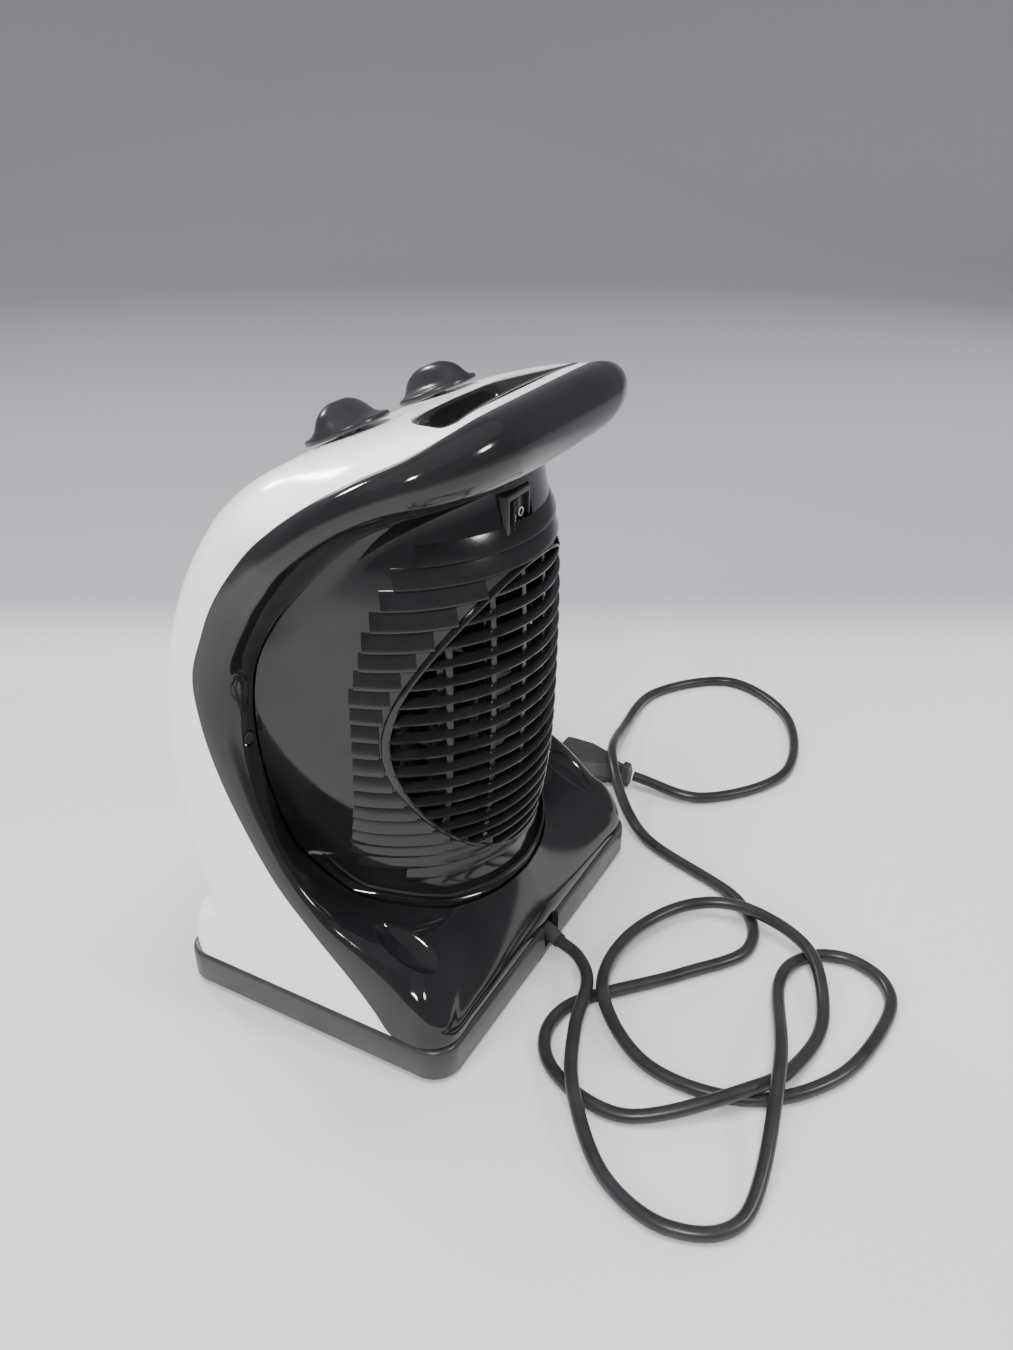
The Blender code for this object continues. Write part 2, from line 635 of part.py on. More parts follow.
def cover_rows():
    """Rows of the rear cover from the groove below it to the groove over it."""
    beside = groove_stretches()[1]
    low, high = beside[0].z, beside[-1].z
    rows = []
    for z in COVER_HEIGHTS:
        for before, after in zip(beside, beside[1:]):
            if z <= after.z:
                break
        edge = before.lerp(after, (z - before.z) / (after.z - before.z))
        bottom = max(0.0, 1.0 - (z - low) / 36.0)
        top = max(0.0, 1.0 - (high - z) / 26.0)
        rows.append(cover_row(edge, bottom, top))
    return rows


def slot_cutters():
    """Boxes that open the intake between the slats, each as wide as the ellipse is at its height."""
    slots = []
    for k in range(SLOT_COUNT):
        z = INTAKE_Z + (k - (SLOT_COUNT - 1) / 2) * SLOT_PITCH
        share = (z - INTAKE_Z) / INTAKE_HALF[1]
        if abs(share) > 0.97:
            continue
        half = INTAKE_HALF[0] * math.sqrt(1 - share**2)
        slots.append(((-half, 14.0, z - SLOT_HEIGHT / 2), (half, 90.0, z + SLOT_HEIGHT / 2)))
    return boxes("intake_slots", slots, helper=True)


def make_intake_guard():
    """The upright bars just inside the slats, with the band that joins their ends."""
    rows = []
    for z in GUARD_HEIGHTS:
        radius = barrel_radius(z) - COVER_WALL - 3.0 * GAP
        row = []
        for k in range(7):
            angle = math.radians(90.0 - 66.0 * k / 6)
            row.append(Vector((radius * math.cos(angle), BARREL_CENTRE_Y + radius * math.sin(angle), z)))
        row[0].x = 0.0
        rows.append(row)
    guard = half_skin("intake_guard", rows, 3.0, BLACK, inward=False)
    low, high = GUARD_HEIGHTS[0] + 5.0, GUARD_HEIGHTS[-1] - 5.0
    edges = [-GUARD_REACH, *RIB_PLACES, GUARD_REACH]
    gaps = [((left + 1.4, 0.0, low), (right - 1.4, 90.0, high)) for left, right in zip(edges, edges[1:])]
    boolean(guard, boxes("guard_gaps", gaps, helper=True), "DIFFERENCE")


def cover_screw_places():
    """The four screws in the groove: (x, y, z) of each hole's middle."""
    return [(side * x, y, z) for side in (1, -1) for x, y, z in COVER_SCREWS]


def cover_screw_holes():
    """Holes for those screws, along Y."""
    holes = []
    for number, (x, y, z) in enumerate(cover_screw_places(), 1):
        ends = ((x, y - 14.0, z), (x, y + 14.0, z))
        holes.append(rods(f"cover_hole_{number}", [ends], 3.6, helper=True, sides=16))
    return holes


def make_rear_cover():
    cover = half_skin("rear_cover", cover_rows(), COVER_WALL, BLACK, inward=False)
    boolean(cover, slot_cutters(), "DIFFERENCE", "MANIFOLD")
    corners = ((ROCKER_X - 10.0, 40.0, ROCKER_Z - 11.4), (ROCKER_X + 10.0, 80.0, ROCKER_Z + 11.4))
    opening = boxes("rocker_opening", [corners], helper=True)
    boolean(cover, opening, "DIFFERENCE", "MANIFOLD")
    return cover


# --- base --------------------------------------------------------------------------------------------------


def make_base_tray():
    half_x, half_y = TRAY_WIDTH / 2, TRAY_DEPTH / 2
    inner = TRAY_WALL
    rings = [
        rounded_rectangle(half_x - 1.0, half_y - 1.0, TRAY_CORNER - 1.0, TRAY_BOTTOM),
        rounded_rectangle(half_x, half_y, TRAY_CORNER, TRAY_BOTTOM + 1.0),
        rounded_rectangle(half_x, half_y, TRAY_CORNER, TRAY_TOP - 0.8),
        rounded_rectangle(half_x - 0.8, half_y - 0.8, TRAY_CORNER - 0.8, TRAY_TOP),
        rounded_rectangle(half_x - inner - 1.2, half_y - inner - 1.2, TRAY_CORNER - inner, TRAY_TOP),
        rounded_rectangle(half_x - inner - 1.2, half_y - inner - 1.2, TRAY_CORNER - inner, TRAY_BOTTOM + 2.4),
    ]
    tray = ring_loft("base_tray", rings, SATIN)
    cuts = [((-9.6, 60.0, 5.6), (5.0, 90.0, 40.0))]
    boolean(tray, boxes("cord_notch", cuts, helper=True), "DIFFERENCE")
    holes = [((x, y, -5.0), (x, y, 10.0)) for x, y in base_screw_places()]
    holes.append(((PLUNGER_X, PLUNGER_Y, -5.0), (PLUNGER_X, PLUNGER_Y, 10.0)))
    boolean(tray, rods("tray_holes", holes, 4.4, helper=True), "DIFFERENCE")
    return tray


def make_feet():
    for number, (x, y) in enumerate(FOOT_PLACES, 1):
        rods(f"rubber_foot_{number}", [((x, y, 0.0), (x, y, TRAY_BOTTOM - GAP))], FOOT_RADIUS, RUBBER)


def make_tip_switch():
    """The plunger that the floor pushes in, and the snap switch above it."""
    stop = TRAY_BOTTOM + 2.4 + PLUNGER_TRAVEL + GAP
    profile = [(0.0, 15.0), (2.0, 15.0), (2.0, stop + 2.0), (6.0, stop + 2.0), (6.0, stop), (4.0, stop),
               (4.0, 0.8), (3.2, 0.0), (0.0, 0.0)]
    place = Matrix.Translation((PLUNGER_X * MM, PLUNGER_Y * MM, 0.0))
    turned("tip_plunger", profile, place, GREY, sides=20)
    corners = ((PLUNGER_X - 10.0, PLUNGER_Y - 3.2, 15.0 + GAP), (PLUNGER_X + 10.0, PLUNGER_Y + 3.2, 26.0))
    boxes("tip_switch", [corners], BLACK, bevel=0.5)


def base_screw_places():
    return [(84.0, -30.0), (-84.0, -30.0)]


# --- knobs and controls ------------------------------------------------------------------------------------


def knob_point(side, height, across=0.0, along=0.0):
    """A point on a knob's axis, height above the white surface, side 1 for the +X knob and -1 for the other."""
    axis = Vector((0.0, -math.sin(KNOB_TILT), math.cos(KNOB_TILT)))
    slope = Vector((0.0, math.cos(KNOB_TILT), math.sin(KNOB_TILT)))
    base = Vector((side * KNOB_X, *KNOB_BASE))
    return base + axis * height + Vector((across, 0.0, 0.0)) + slope * along


def knob_ring(side, turn, height, half_length, half_width):
    """An oval ring of the knob, its long way turned from the +X direction."""
    ring = []
    for k in range(24):
        angle = math.tau * k / 24
        a, b = half_length * math.cos(angle), half_width * math.sin(angle)
        across = a * math.cos(turn) - b * math.sin(turn)
        along = a * math.sin(turn) + b * math.cos(turn)
        ring.append(knob_point(side, height, across, along))
    return ring


def make_knob(name, side, turn):
    knob = ring_loft(name, [knob_ring(side, turn, *ring) for ring in KNOB_RINGS], BLACK)
    pivot(knob, knob_point(side, 0.0))
    bore = rods(f"{name}_bore", [(knob_point(side, -2.0), knob_point(side, 8.0))], 3.3, helper=True)
    boolean(knob, bore, "DIFFERENCE")


def make_controls():
    """Both knobs with their shafts, and the thermostat and the rotary switch that they turn."""
    for name, body, side, turn in (("knob_thermostat", "thermostat", 1, math.radians(8.0)),
                                   ("knob_function", "function_switch", -1, math.radians(80.0))):
        make_knob(name, side, turn)
        shaft = rods(f"{body}_shaft", [(knob_point(side, -7.0), knob_point(side, 7.6))], 3.0, STEEL)
        pivot(shaft, knob_point(side, 0.0))
    rings = [knob_box_ring(1, -7.35, 13.0, 12.0), knob_box_ring(1, -25.0, 13.0, 12.0)]
    ring_loft("thermostat", rings, GREY)
    turns = ((-7.35, 12.0), (-9.0, 14.0), (-24.0, 14.0))
    ring_loft("function_switch", [knob_ring(-1, 0.0, height, radius, radius) for height, radius in turns], GREY)


def knob_box_ring(side, height, half_x, half_y):
    signs = ((1, 1), (-1, 1), (-1, -1), (1, -1))
    return [knob_point(side, height, sx * half_x, sy * half_y) for sx, sy in signs]


def make_rocker_switch():
    """The switch housing set into the rear cover, and its rocker, which turns on an upright axis."""
    face = 60.4
    corners = ((ROCKER_X - 9.6, 36.0, ROCKER_Z - 11.0), (ROCKER_X + 9.6, face, ROCKER_Z + 11.0))
    housing = boxes("rocker_housing", [corners], BLACK, bevel=0.6)
    hollow = ((ROCKER_X - 7.9, 45.0, ROCKER_Z - 8.4), (ROCKER_X + 7.9, 80.0, ROCKER_Z + 8.4))
    pocket = boxes("rocker_pocket", [hollow], helper=True)
    boolean(housing, pocket, "DIFFERENCE")
    rings = []
    for z in (ROCKER_Z - 7.9, ROCKER_Z + 7.9):
        ring = []
        for across, out in ROCKER_OUTLINE:
            ring.append((ROCKER_X + across * math.cos(ROCKER_TILT) + out * math.sin(ROCKER_TILT),
                         ROCKER_PIVOT_Y - across * math.sin(ROCKER_TILT) + out * math.cos(ROCKER_TILT), z))
        rings.append(ring)
    pivot(ring_loft("rocker", rings, BLACK), (ROCKER_X, ROCKER_PIVOT_Y, ROCKER_Z))


# --- grip pocket -------------------------------------------------------------------------------------------

def pocket_ring(grow, height, slanted=False, squeeze=0.0):
    """The pocket's outline grown by a distance, level at a height or following the slope of the top.

    squeeze draws its long ends in by that share of its length."""
    half = POCKET_OUTLINE
    outline = half + [(0.0, 54.8)] + [(-x, y) for x, y in half[:0:-1]]
    ring = []
    for i, point in enumerate(outline):
        before, after = Vector(outline[i - 1]), Vector(outline[(i + 1) % len(outline)])
        along = (after - before).normalized()
        x, y = Vector(point) + Vector((along.y, -along.x)) * grow
        y = 43.0 + (y - 43.0) * (1.0 - squeeze * 0.5)
        z = height + (y - KNOB_BASE[0]) * math.tan(TOP_SLOPE) - 0.0008 * x**2 if slanted else height
        ring.append((x * (1.0 - squeeze), y, z))
    return ring


def make_grip_pocket():
    """The open-topped pocket that fingers reach into to hold the handle."""
    top = KNOB_BASE[1] - 1.6
    rings = [pocket_ring(-0.2, POCKET_FLOOR, squeeze=0.5), pocket_ring(-0.2, top, slanted=True),
             pocket_ring(-0.2 - POCKET_WALL, top, slanted=True),
             pocket_ring(-0.2 - POCKET_WALL, POCKET_FLOOR + POCKET_WALL, squeeze=0.5)]
    ring_loft("grip_pocket", rings, BLACK)


# --- fan and heating ---------------------------------------------------------------------------------------


def make_heating():
    """The PTC elements in their frame, between the fan and the outlet."""
    outer = ((-66.0, -48.0, FAN_Z - 60.0), (66.0, -26.0, FAN_Z + 60.0))
    inner = ((-58.0, -60.0, FAN_Z - 52.0), (58.0, -10.0, FAN_Z + 52.0))
    frame = boxes("heater_frame", [outer], GREY, bevel=1.0)
    opening = boxes("heater_frame_opening", [inner], helper=True)
    boolean(frame, opening, "DIFFERENCE")
    for number in (1, 2, 3):
        middle = FAN_Z + (number - 2) * ELEMENT_PITCH
        block = boxes(f"ptc_element_{number}", [((-57.6, -46.0, middle - ELEMENT_HEIGHT / 2),
                                                 (57.6, -28.0, middle + ELEMENT_HEIGHT / 2))], ALUMINIUM)
        cuts = []
        for k in range(8):
            left = -55.0 + k * 13.9
            for low, high in ((2.0, ELEMENT_HEIGHT / 2 - 1.4), (-ELEMENT_HEIGHT / 2 + 1.4, -2.0)):
                cuts.append(((left, -60.0, middle + low), (left + 12.7, -10.0, middle + high)))
        boolean(block, boxes(f"fin_gaps_{number}", cuts, helper=True), "DIFFERENCE")
    boxes("thermal_cutout", [((-10.0, -24.5, FAN_Z + 48.0), (10.0, -21.0, FAN_Z + 62.0))], STEEL, bevel=0.6)


def make_fan():
    """Shroud, motor, bracket, shaft and bladed rotor."""
    shroud = boxes("fan_shroud", [((-61.0, -20.0, FAN_Z - 58.0), (61.0, -16.5, FAN_Z + 64.0))], BLACK)
    ends = ((0.0, -18.0, FAN_Z), (0.0, 11.0, FAN_Z))
    boolean(shroud, rods("shroud_duct", [ends], FAN_RADIUS + 6.0, helper=True, sides=40), "UNION")
    ends = ((0.0, -40.0, FAN_Z), (0.0, 40.0, FAN_Z))
    boolean(shroud, rods("shroud_bore", [ends], FAN_RADIUS + 3.0, helper=True, sides=40), "DIFFERENCE")

    bracket = rods("motor_bracket", [((0.0, 11.4, FAN_Z), (0.0, 14.4, FAN_Z))], 25.0, STEEL)
    reach = FAN_RADIUS + 5.6
    across = boxes("bracket_across", [((-reach, 11.8, FAN_Z - 4.0), (reach, 14.0, FAN_Z + 4.0))], helper=True)
    upright = boxes("bracket_upright", [((-4.0, 11.6, FAN_Z - reach), (4.0, 14.2, FAN_Z + reach))], helper=True)
    boolean(bracket, across, "UNION")
    boolean(bracket, upright, "UNION")
    bore = rods("bracket_bore", [((0.0, 0.0, FAN_Z), (0.0, 30.0, FAN_Z))], 6.0, helper=True)
    boolean(bracket, bore, "DIFFERENCE")

    motor_profile = [(0.0, 48.0), (6.0, 48.0), (6.0, 45.0), (20.0, 45.0), (22.0, 43.0), (22.0, 18.0), (20.0, 14.75),
                     (0.0, 14.75)]
    place = Matrix.Translation((0.0, 0.0, FAN_Z * MM)) @ Matrix.Rotation(-math.pi / 2, 4, "X")
    turned("fan_motor", motor_profile, place, STEEL)
    shaft = rods("motor_shaft", [((0.0, -11.0, FAN_Z), (0.0, 14.4, FAN_Z))], 2.0, STEEL, sides=16)
    pivot(shaft, (0.0, 0.0, FAN_Z))

    rotor = rods("fan_rotor", [((0.0, -9.0, FAN_Z), (0.0, 8.0, FAN_Z))], 15.0, GREY, sides=28)
    pivot(rotor, (0.0, 0.0, FAN_Z))
    boolean(rotor, fan_blades(), "UNION", "MANIFOLD")
    boolean(rotor, rods("rotor_bore", [((0.0, -20.0, FAN_Z), (0.0, 20.0, FAN_Z))], 2.35, helper=True, sides=16),
            "DIFFERENCE", "MANIFOLD")


def fan_blades():
    """Seven twisted blades round the hub, as one helper to join to it."""
    bm = bmesh.new()
    for number in range(FAN_BLADES):
        turn = Matrix.Rotation(math.tau * (number + 0.13) / FAN_BLADES, 4, "Y")
        about = Matrix.Translation((0.0, 0.0, FAN_Z * MM)) @ turn
        rows = []
        sections = ((8.0, 52.0, 15.0), (24.0, 42.0, 25.0), (37.0, 33.0, 29.0), (FAN_RADIUS, 27.0, 31.0))
        for radius, pitch, chord in sections:
            tilt = math.radians(pitch)
            ring = []
            for along, thick in ((-0.5, -0.5), (0.0, 0.9), (0.5, -0.5), (0.0, -1.1)):
                x = along * chord * math.cos(tilt) - thick * math.sin(tilt)
                y = along * chord * math.sin(tilt) * 0.55 + thick * math.cos(tilt)
                ring.append(bm.verts.new(about @ (Vector((x, y, radius)) * MM)))
            rows.append(ring)
        for lower, upper in zip(rows, rows[1:]):
            for i in range(4):
                bm.faces.new((lower[i], lower[(i + 1) % 4], upper[(i + 1) % 4], upper[i]))
        bm.faces.new(rows[0])
        bm.faces.new(rows[-1])
    return add_object("fan_blades", mesh_of(bm, "fan_blades"), None, helper=True)


# --- screws ------------------------------------------------------------------------------------------------


def make_screws():
    """Self-tapping screws: four in the groove, two in the skirt's recesses and two under the tray."""
    head = [(0.0, 0.0), (1.0, 0.0), (2.6, 0.0), (3.0, -0.6), (3.0, -2.2), (1.5, -2.2), (1.5, -12.0), (0.0, -13.2)]
    back = Matrix.Rotation(-math.pi / 2, 4, "X")
    down = Matrix.Rotation(math.pi, 4, "X")
    level = Matrix.Identity(4)
    for number, (x, y, z) in enumerate(cover_screw_places(), 1):
        screw(f"cover_screw_{number}", head, Vector((x, y - 1.0, z)), back)
    for number, side in enumerate((1, -1), 1):
        screw(f"skirt_screw_{number}", head, Vector((side * 79.0, 44.0, 36.0)), level)
    for number, (x, y) in enumerate(base_screw_places(), 1):
        screw(f"base_screw_{number}", head, Vector((x, y, 2.6)), down)


def screw(name, profile, point, turn):
    turned(name, profile, Matrix.Translation(point * MM) @ turn, STEEL, sides=8)


# --- mains cord --------------------------------------------------------------------------------------------


def make_cord():
    """The cord as it lies, from its gland in the rear notch to its plug."""
    step = CORD_DIAMETER * 2.9
    fine = spline(CORD_ROUTE, 12)
    points = [fine[0]]
    walked = 0.0
    for before, after in zip(fine, fine[1:]):
        walked += (after - before).length
        if walked >= step:
            points.append(after)
            walked = 0.0
    if (points[-1] - fine[-1]).length < step * 0.5:
        points.pop()
    points.append(fine[-1])
    for point in points:
        point.z = max(point.z, CORD_DIAMETER / 2 + 0.1)
    curve = bpy.data.curves.new("power_cord", "CURVE")
    curve.dimensions = "3D"
    curve.bevel_depth = CORD_DIAMETER / 2 * MM
    curve.bevel_resolution = 2
    curve.use_fill_caps = True
    line = curve.splines.new("POLY")
    line.points.add(len(points) - 1)
    for point, place in zip(line.points, points):
        point.co = (*(place * MM), 1.0)
    curve.materials.append(PVC)
    cord = bpy.data.objects.new("power_cord", curve)
    PARTS.objects.link(cord)


def make_cord_ends():
    """The gland that the cord comes out of, its clamp inside, the terminal block, and the plug."""
    start, ahead = Vector(CORD_ROUTE[0]), (Vector(CORD_ROUTE[1]) - Vector(CORD_ROUTE[0])).normalized()
    rear = start - ahead * GAP
    rods("cord_gland", [(rear - ahead * 20.0, rear)], 4.6, RUBBER, sides=20, tip=3.7)
    boxes("cord_clamp", [((-12.0, 46.0, 5.0), (12.0, 54.0, 13.0))], GREY, bevel=0.8)
    boxes("terminal_block", [((-46.0, 28.0, 4.8), (-18.0, 40.0, 17.0))], GREY, bevel=0.6)

    x, z = PLUG_AXIS
    ring_loft("plug_body", [plug_ring(x, y, z, half_x, half_z) for y, half_x, half_z in PLUG_RINGS], PVC)
    for number, side in enumerate((1, -1), 1):
        pin_x = x + side * 9.5
        rods(f"plug_pin_{number}", [((pin_x, 4.0 - GAP, z), (pin_x, -15.0, z))], 2.4, BRASS, sides=20)


def plug_ring(x, y, z, half_x, half_z):
    """A six-sided ring across the plug: flat top and bottom, and sides that come to a blunt edge."""
    flat = max(half_x - half_z * 0.75, half_x * 0.45)
    outline = ((half_x, 0.0), (flat, half_z), (-flat, half_z), (-half_x, 0.0), (-flat, -half_z), (flat, -half_z))
    return [(x + across, y, z + up) for across, up in outline]


def main():
    make_base_tray()
    make_feet()
    make_tip_switch()
    make_front_shell()
    make_front_bezel()
    make_front_grille()
    make_rear_frame()
    make_rear_cover()
    make_intake_guard()
    make_grip_pocket()
    make_controls()
    make_rocker_switch()
    make_heating()
    make_fan()
    make_screws()
    make_cord()
    make_cord_ends()


main()
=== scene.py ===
"""Looks of the ceramic fan heater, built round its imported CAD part. Lengths in the tables are millimetres."""

import math

import bmesh
import bpy
import numpy as np
from mathutils import Matrix, Vector
from mathutils.bvhtree import BVHTree


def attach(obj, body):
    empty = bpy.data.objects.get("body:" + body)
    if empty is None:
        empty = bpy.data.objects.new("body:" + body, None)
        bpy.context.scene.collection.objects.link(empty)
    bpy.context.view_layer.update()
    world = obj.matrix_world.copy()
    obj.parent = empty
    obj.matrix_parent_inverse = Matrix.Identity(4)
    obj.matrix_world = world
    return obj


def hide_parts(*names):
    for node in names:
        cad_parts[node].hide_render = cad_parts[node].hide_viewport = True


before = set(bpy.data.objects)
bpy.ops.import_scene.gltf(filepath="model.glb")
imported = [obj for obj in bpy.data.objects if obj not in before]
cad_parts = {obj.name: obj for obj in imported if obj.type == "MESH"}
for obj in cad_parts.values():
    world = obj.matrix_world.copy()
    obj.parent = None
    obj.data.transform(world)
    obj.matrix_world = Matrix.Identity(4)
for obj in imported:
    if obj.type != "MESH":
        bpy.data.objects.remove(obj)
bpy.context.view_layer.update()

MM = 0.001
KEY_PLACE = (1.1, 0.5, 1.4)
HOUSING = "housing"

# --- camera -------------------------------------------------------------------------------------------------

camera_data = bpy.data.cameras.new("camera")
camera_data.lens = 29.51
camera_data.sensor_width = 36.0
camera_data.clip_start = 0.01
camera = bpy.data.objects.new("camera", camera_data)
camera.location = (0.3777, 0.2567, 0.3911)
camera.rotation_euler = (math.radians(60.97), 0.0, math.radians(118.74))
bpy.context.scene.collection.objects.link(camera)
bpy.context.scene.camera = camera

# --- shape tables, as the CAD has them ----------------------------------------------------------------------

GAP = 0.35
TRAY_WIDTH, TRAY_DEPTH, TRAY_CORNER, TRAY_BOTTOM, TRAY_TOP = 200.0, 148.0, 13.0, 2.0, 18.4
BODY_HALF_WIDTH = 98.5
BODY_BOTTOM = TRAY_TOP + GAP
STATIONS = [
    ((-72.5, BODY_BOTTOM), (98.5, 46.0, BODY_BOTTOM), 14),
    ((-73.0, 30.0), (98.5, 37.0, 30.0), 15),
    ((-69.5, 41.0), (98.5, 27.5, 41.0), 16),
    ((-61.0, 50.5), (98.5, 18.0, 50.5), 17),
    ((-63.5, 60.0), (98.5, 8.5, 60.0), 19),
    ((-69.5, 80.0), (98.5, -9.5, 80.5), 20),
    ((-73.0, 104.0), (98.5, -24.0, 106.0), 21),
    ((-74.0, 130.0), (98.5, -34.5, 131.0), 22),
    ((-71.0, 158.0), (98.5, -40.0, 155.0), 23),
    ((-66.0, 182.0), (98.5, -40.3, 175.0), 24),
    ((-58.0, 205.0), (98.5, -32.8, 194.0), 26),
    ((-46.5, 226.0), (98.5, -24.6, 210.0), 28),
    ((-31.0, 246.0), (98.5, -12.2, 226.5), 31),
    ((-12.0, 259.3), (97.8, 1.2, 240.6), 34),
    ((8.0, 267.0), (92.6, 16.6, 253.2), 0),
    ((30.0, 274.0), (84.5, 35.0, 264.6), 0),
    ((46.0, 278.0), (74.5, 49.6, 271.9), 0),
    ((56.0, 280.3), (62.0, 57.8, 277.3), 0),
    ((63.6, 282.2), (47.0, 62.6, 281.3), 0),
]
SHOULDER_SHARES = [0.0, 0.25, 0.48, 0.64, 0.74, 0.82, 0.88, 0.925, 0.96, 0.98, 1.0]
SHOULDER_POWER = 6.4
GROOVE = [
    ((47.0, 46.0, 51.9), 29.0),
    ((54.0, 38.0, 54.0), 26.0),
    ((60.0, 28.0, 56.2), 24.0),
    ((65.0, 18.5, 58.6), 22.0),
    ((68.5, 7.0, 61.8), 18.5),
    ((72.0, -18.0, 80.0), 16.0),
    ((77.0, -23.5, 104.0), 16.0),
    ((80.5, -26.0, 130.0), 15.0),
    ((81.5, -26.0, 156.0), 15.0),
    ((79.5, -23.0, 177.0), 16.0),
    ((75.0, -14.0, 196.0), 18.0),
    ((72.0, -4.0, 208.0), 20.0),
    ((69.5, 7.0, 220.0), 22.0),
    ((65.0, 19.0, 231.0), 23.0),
    ((60.0, 31.0, 240.0), 24.0),
    ((54.0, 41.0, 246.0), 25.0),
    ((44.0, 50.0, 250.5), 25.0),
    ((32.0, 55.5, 252.5), 24.0),
    ((20.0, 58.0, 253.2), 22.0),
]
RIDGE = [(55.5, 48.5), (45.0, 56.0), (36.0, 61.5), (26.0, 67.0), (17.0, 73.0), (3.0, 90.0), (-8.5, 111.0),
         (-17.5, 133.0)]
RIM_GROOVE = [
    ((0.0, 61.3, 49.0), 5.5),
    ((12.0, 60.2, 49.3), 5.5),
    ((22.0, 58.2, 49.7), 5.5),
    ((31.0, 55.0, 50.2), 5.8),
    ((36.0, 52.6, 50.6), 6.8),
    ((39.5, 50.8, 50.9), 11.5),
    ((42.5, 49.0, 51.3), 18.5),
    ((45.0, 47.4, 51.6), 25.5),
]
SEAM_LAND = 1.6
# The station from which the frame swells into the handle's tube, and how far its control points stand off the seam
TUBE_FROM = 11
TUBE_OUT = (21.5, 23.5)
TUBE_DROP = (5.8, 31.0)
HANDLE_SHARES = (0.88, 0.64, 0.32, 0.0)
HANDLE_GROOVE = (59.5, 253.6)
BARREL_CENTRE_Y = -5.0
BARREL = [(48.5, 66.5), (53.0, 63.2), (60.0, 61.6), (72.0, 62.8), (87.0, 65.5), (110.0, 68.2), (136.0, 69.4),
          (162.0, 69.9), (186.0, 70.0), (205.0, 69.4), (218.0, 68.1), (229.0, 66.4), (240.0, 64.2), (252.6, 62.5)]
COVER_WALL = 2.2
INTAKE_Z = 142.0
INTAKE_HALF = (62.0, 71.0)
COVER_SCREWS = [(86.4, -24.0, 144.0), (61.5, 37.0, 247.0)]
OUTLET_HALF = (66.0, 64.0)
OUTLET_Z = 132.0
OUTLET_CORNER = 24.0
TOP_SLOPE = math.radians(16.5)
POCKET_FLOOR = 254.0
POCKET_OUTLINE = [(0.0, 26.0), (22.0, 26.4), (36.0, 29.0), (46.0, 37.0), (52.0, 47.0), (54.0, 53.0), (50.0, 56.0),
                  (38.0, 55.2), (20.0, 54.8)]
KNOB_X = 33.5
KNOB_BASE = (-2.6, 263.3)
KNOB_TILT = math.radians(24.0)
KNOB_SEAT = 17.2
KNOB_RINGS = [(0.6, 17.4, 17.4), (1.1, 17.8, 17.8), (2.4, 17.8, 17.8), (2.9, 17.4, 17.2), (3.6, 17.1, 13.6),
              (5.0, 16.8, 10.8), (7.2, 15.9, 8.8), (9.6, 13.8, 7.0), (11.6, 10.2, 5.2), (12.9, 6.0, 3.0)]
RIB_PLACES = [-45.0, -27.0, -9.0, 9.0, 27.0, 45.0]
ROCKER_X = 9.0
ROCKER_Z = 232.0
ROCKER_PIVOT_Y = 53.4
ROCKER_TILT = math.radians(-12.0)
CORD_DIAMETER = 6.2
CORD_ROUTE = [
    (1.9, 80.8, 11.0), (7.2, 93.4, 10.7), (20.0, 104.0, 10.2), (48.0, 111.0, 9.8), (79.0, 125.0, 9.6),
    (107.0, 152.0, 4.2), (115.0, 184.0, 3.4), (95.0, 207.5, 3.4), (31.0, 199.5, 16.2), (-30.0, 182.6, 3.4),
    (-54.0, 189.5, 3.4), (-62.5, 208.0, 3.4), (-54.0, 227.0, 3.4), (-32.0, 233.0, 3.4), (12.0, 222.0, 3.4),
    (43.0, 191.0, 3.4), (47.0, 146.0, 4.0), (22.0, 113.0, 9.9), (-18.0, 107.5, 8.5), (-54.0, 124.0, 8.8),
    (-67.0, 152.0, 9.9), (-53.0, 189.0, 9.9), (-19.0, 206.5, 4.6), (12.0, 205.0, 4.8), (41.0, 192.5, 10.0),
    (76.0, 148.0, 3.4), (66.0, 107.0, 3.4), (33.0, 99.5, 3.4), (-12.0, 138.0, 3.4), (-46.0, 162.0, 3.4),
    (-79.0, 145.0, 3.4), (-106.0, 80.0, 4.5), (-148.0, 42.0, 19.4), (-205.0, 26.5, 8.5), (-263.0, 25.0, 3.4),
    (-303.0, 66.0, 3.4), (-274.0, 115.0, 3.4), (-208.0, 133.0, 3.4), (-158.5, 98.0, 3.6), (-153.0, 54.4, 8.0),
]
PLUG_AXIS = (-153.0, 8.0)
PLUG_RINGS = [(51.8, 5.8, 7.0), (47.4, 6.2, 7.6), (47.2, 4.6, 5.6), (43.8, 5.2, 6.0), (40.0, 9.0, 6.8),
              (33.0, 13.5, 7.4), (22.0, 17.2, 7.8), (8.0, 17.4, 7.8), (4.0, 16.8, 7.4)]

# --- materials ----------------------------------------------------------------------------------------------


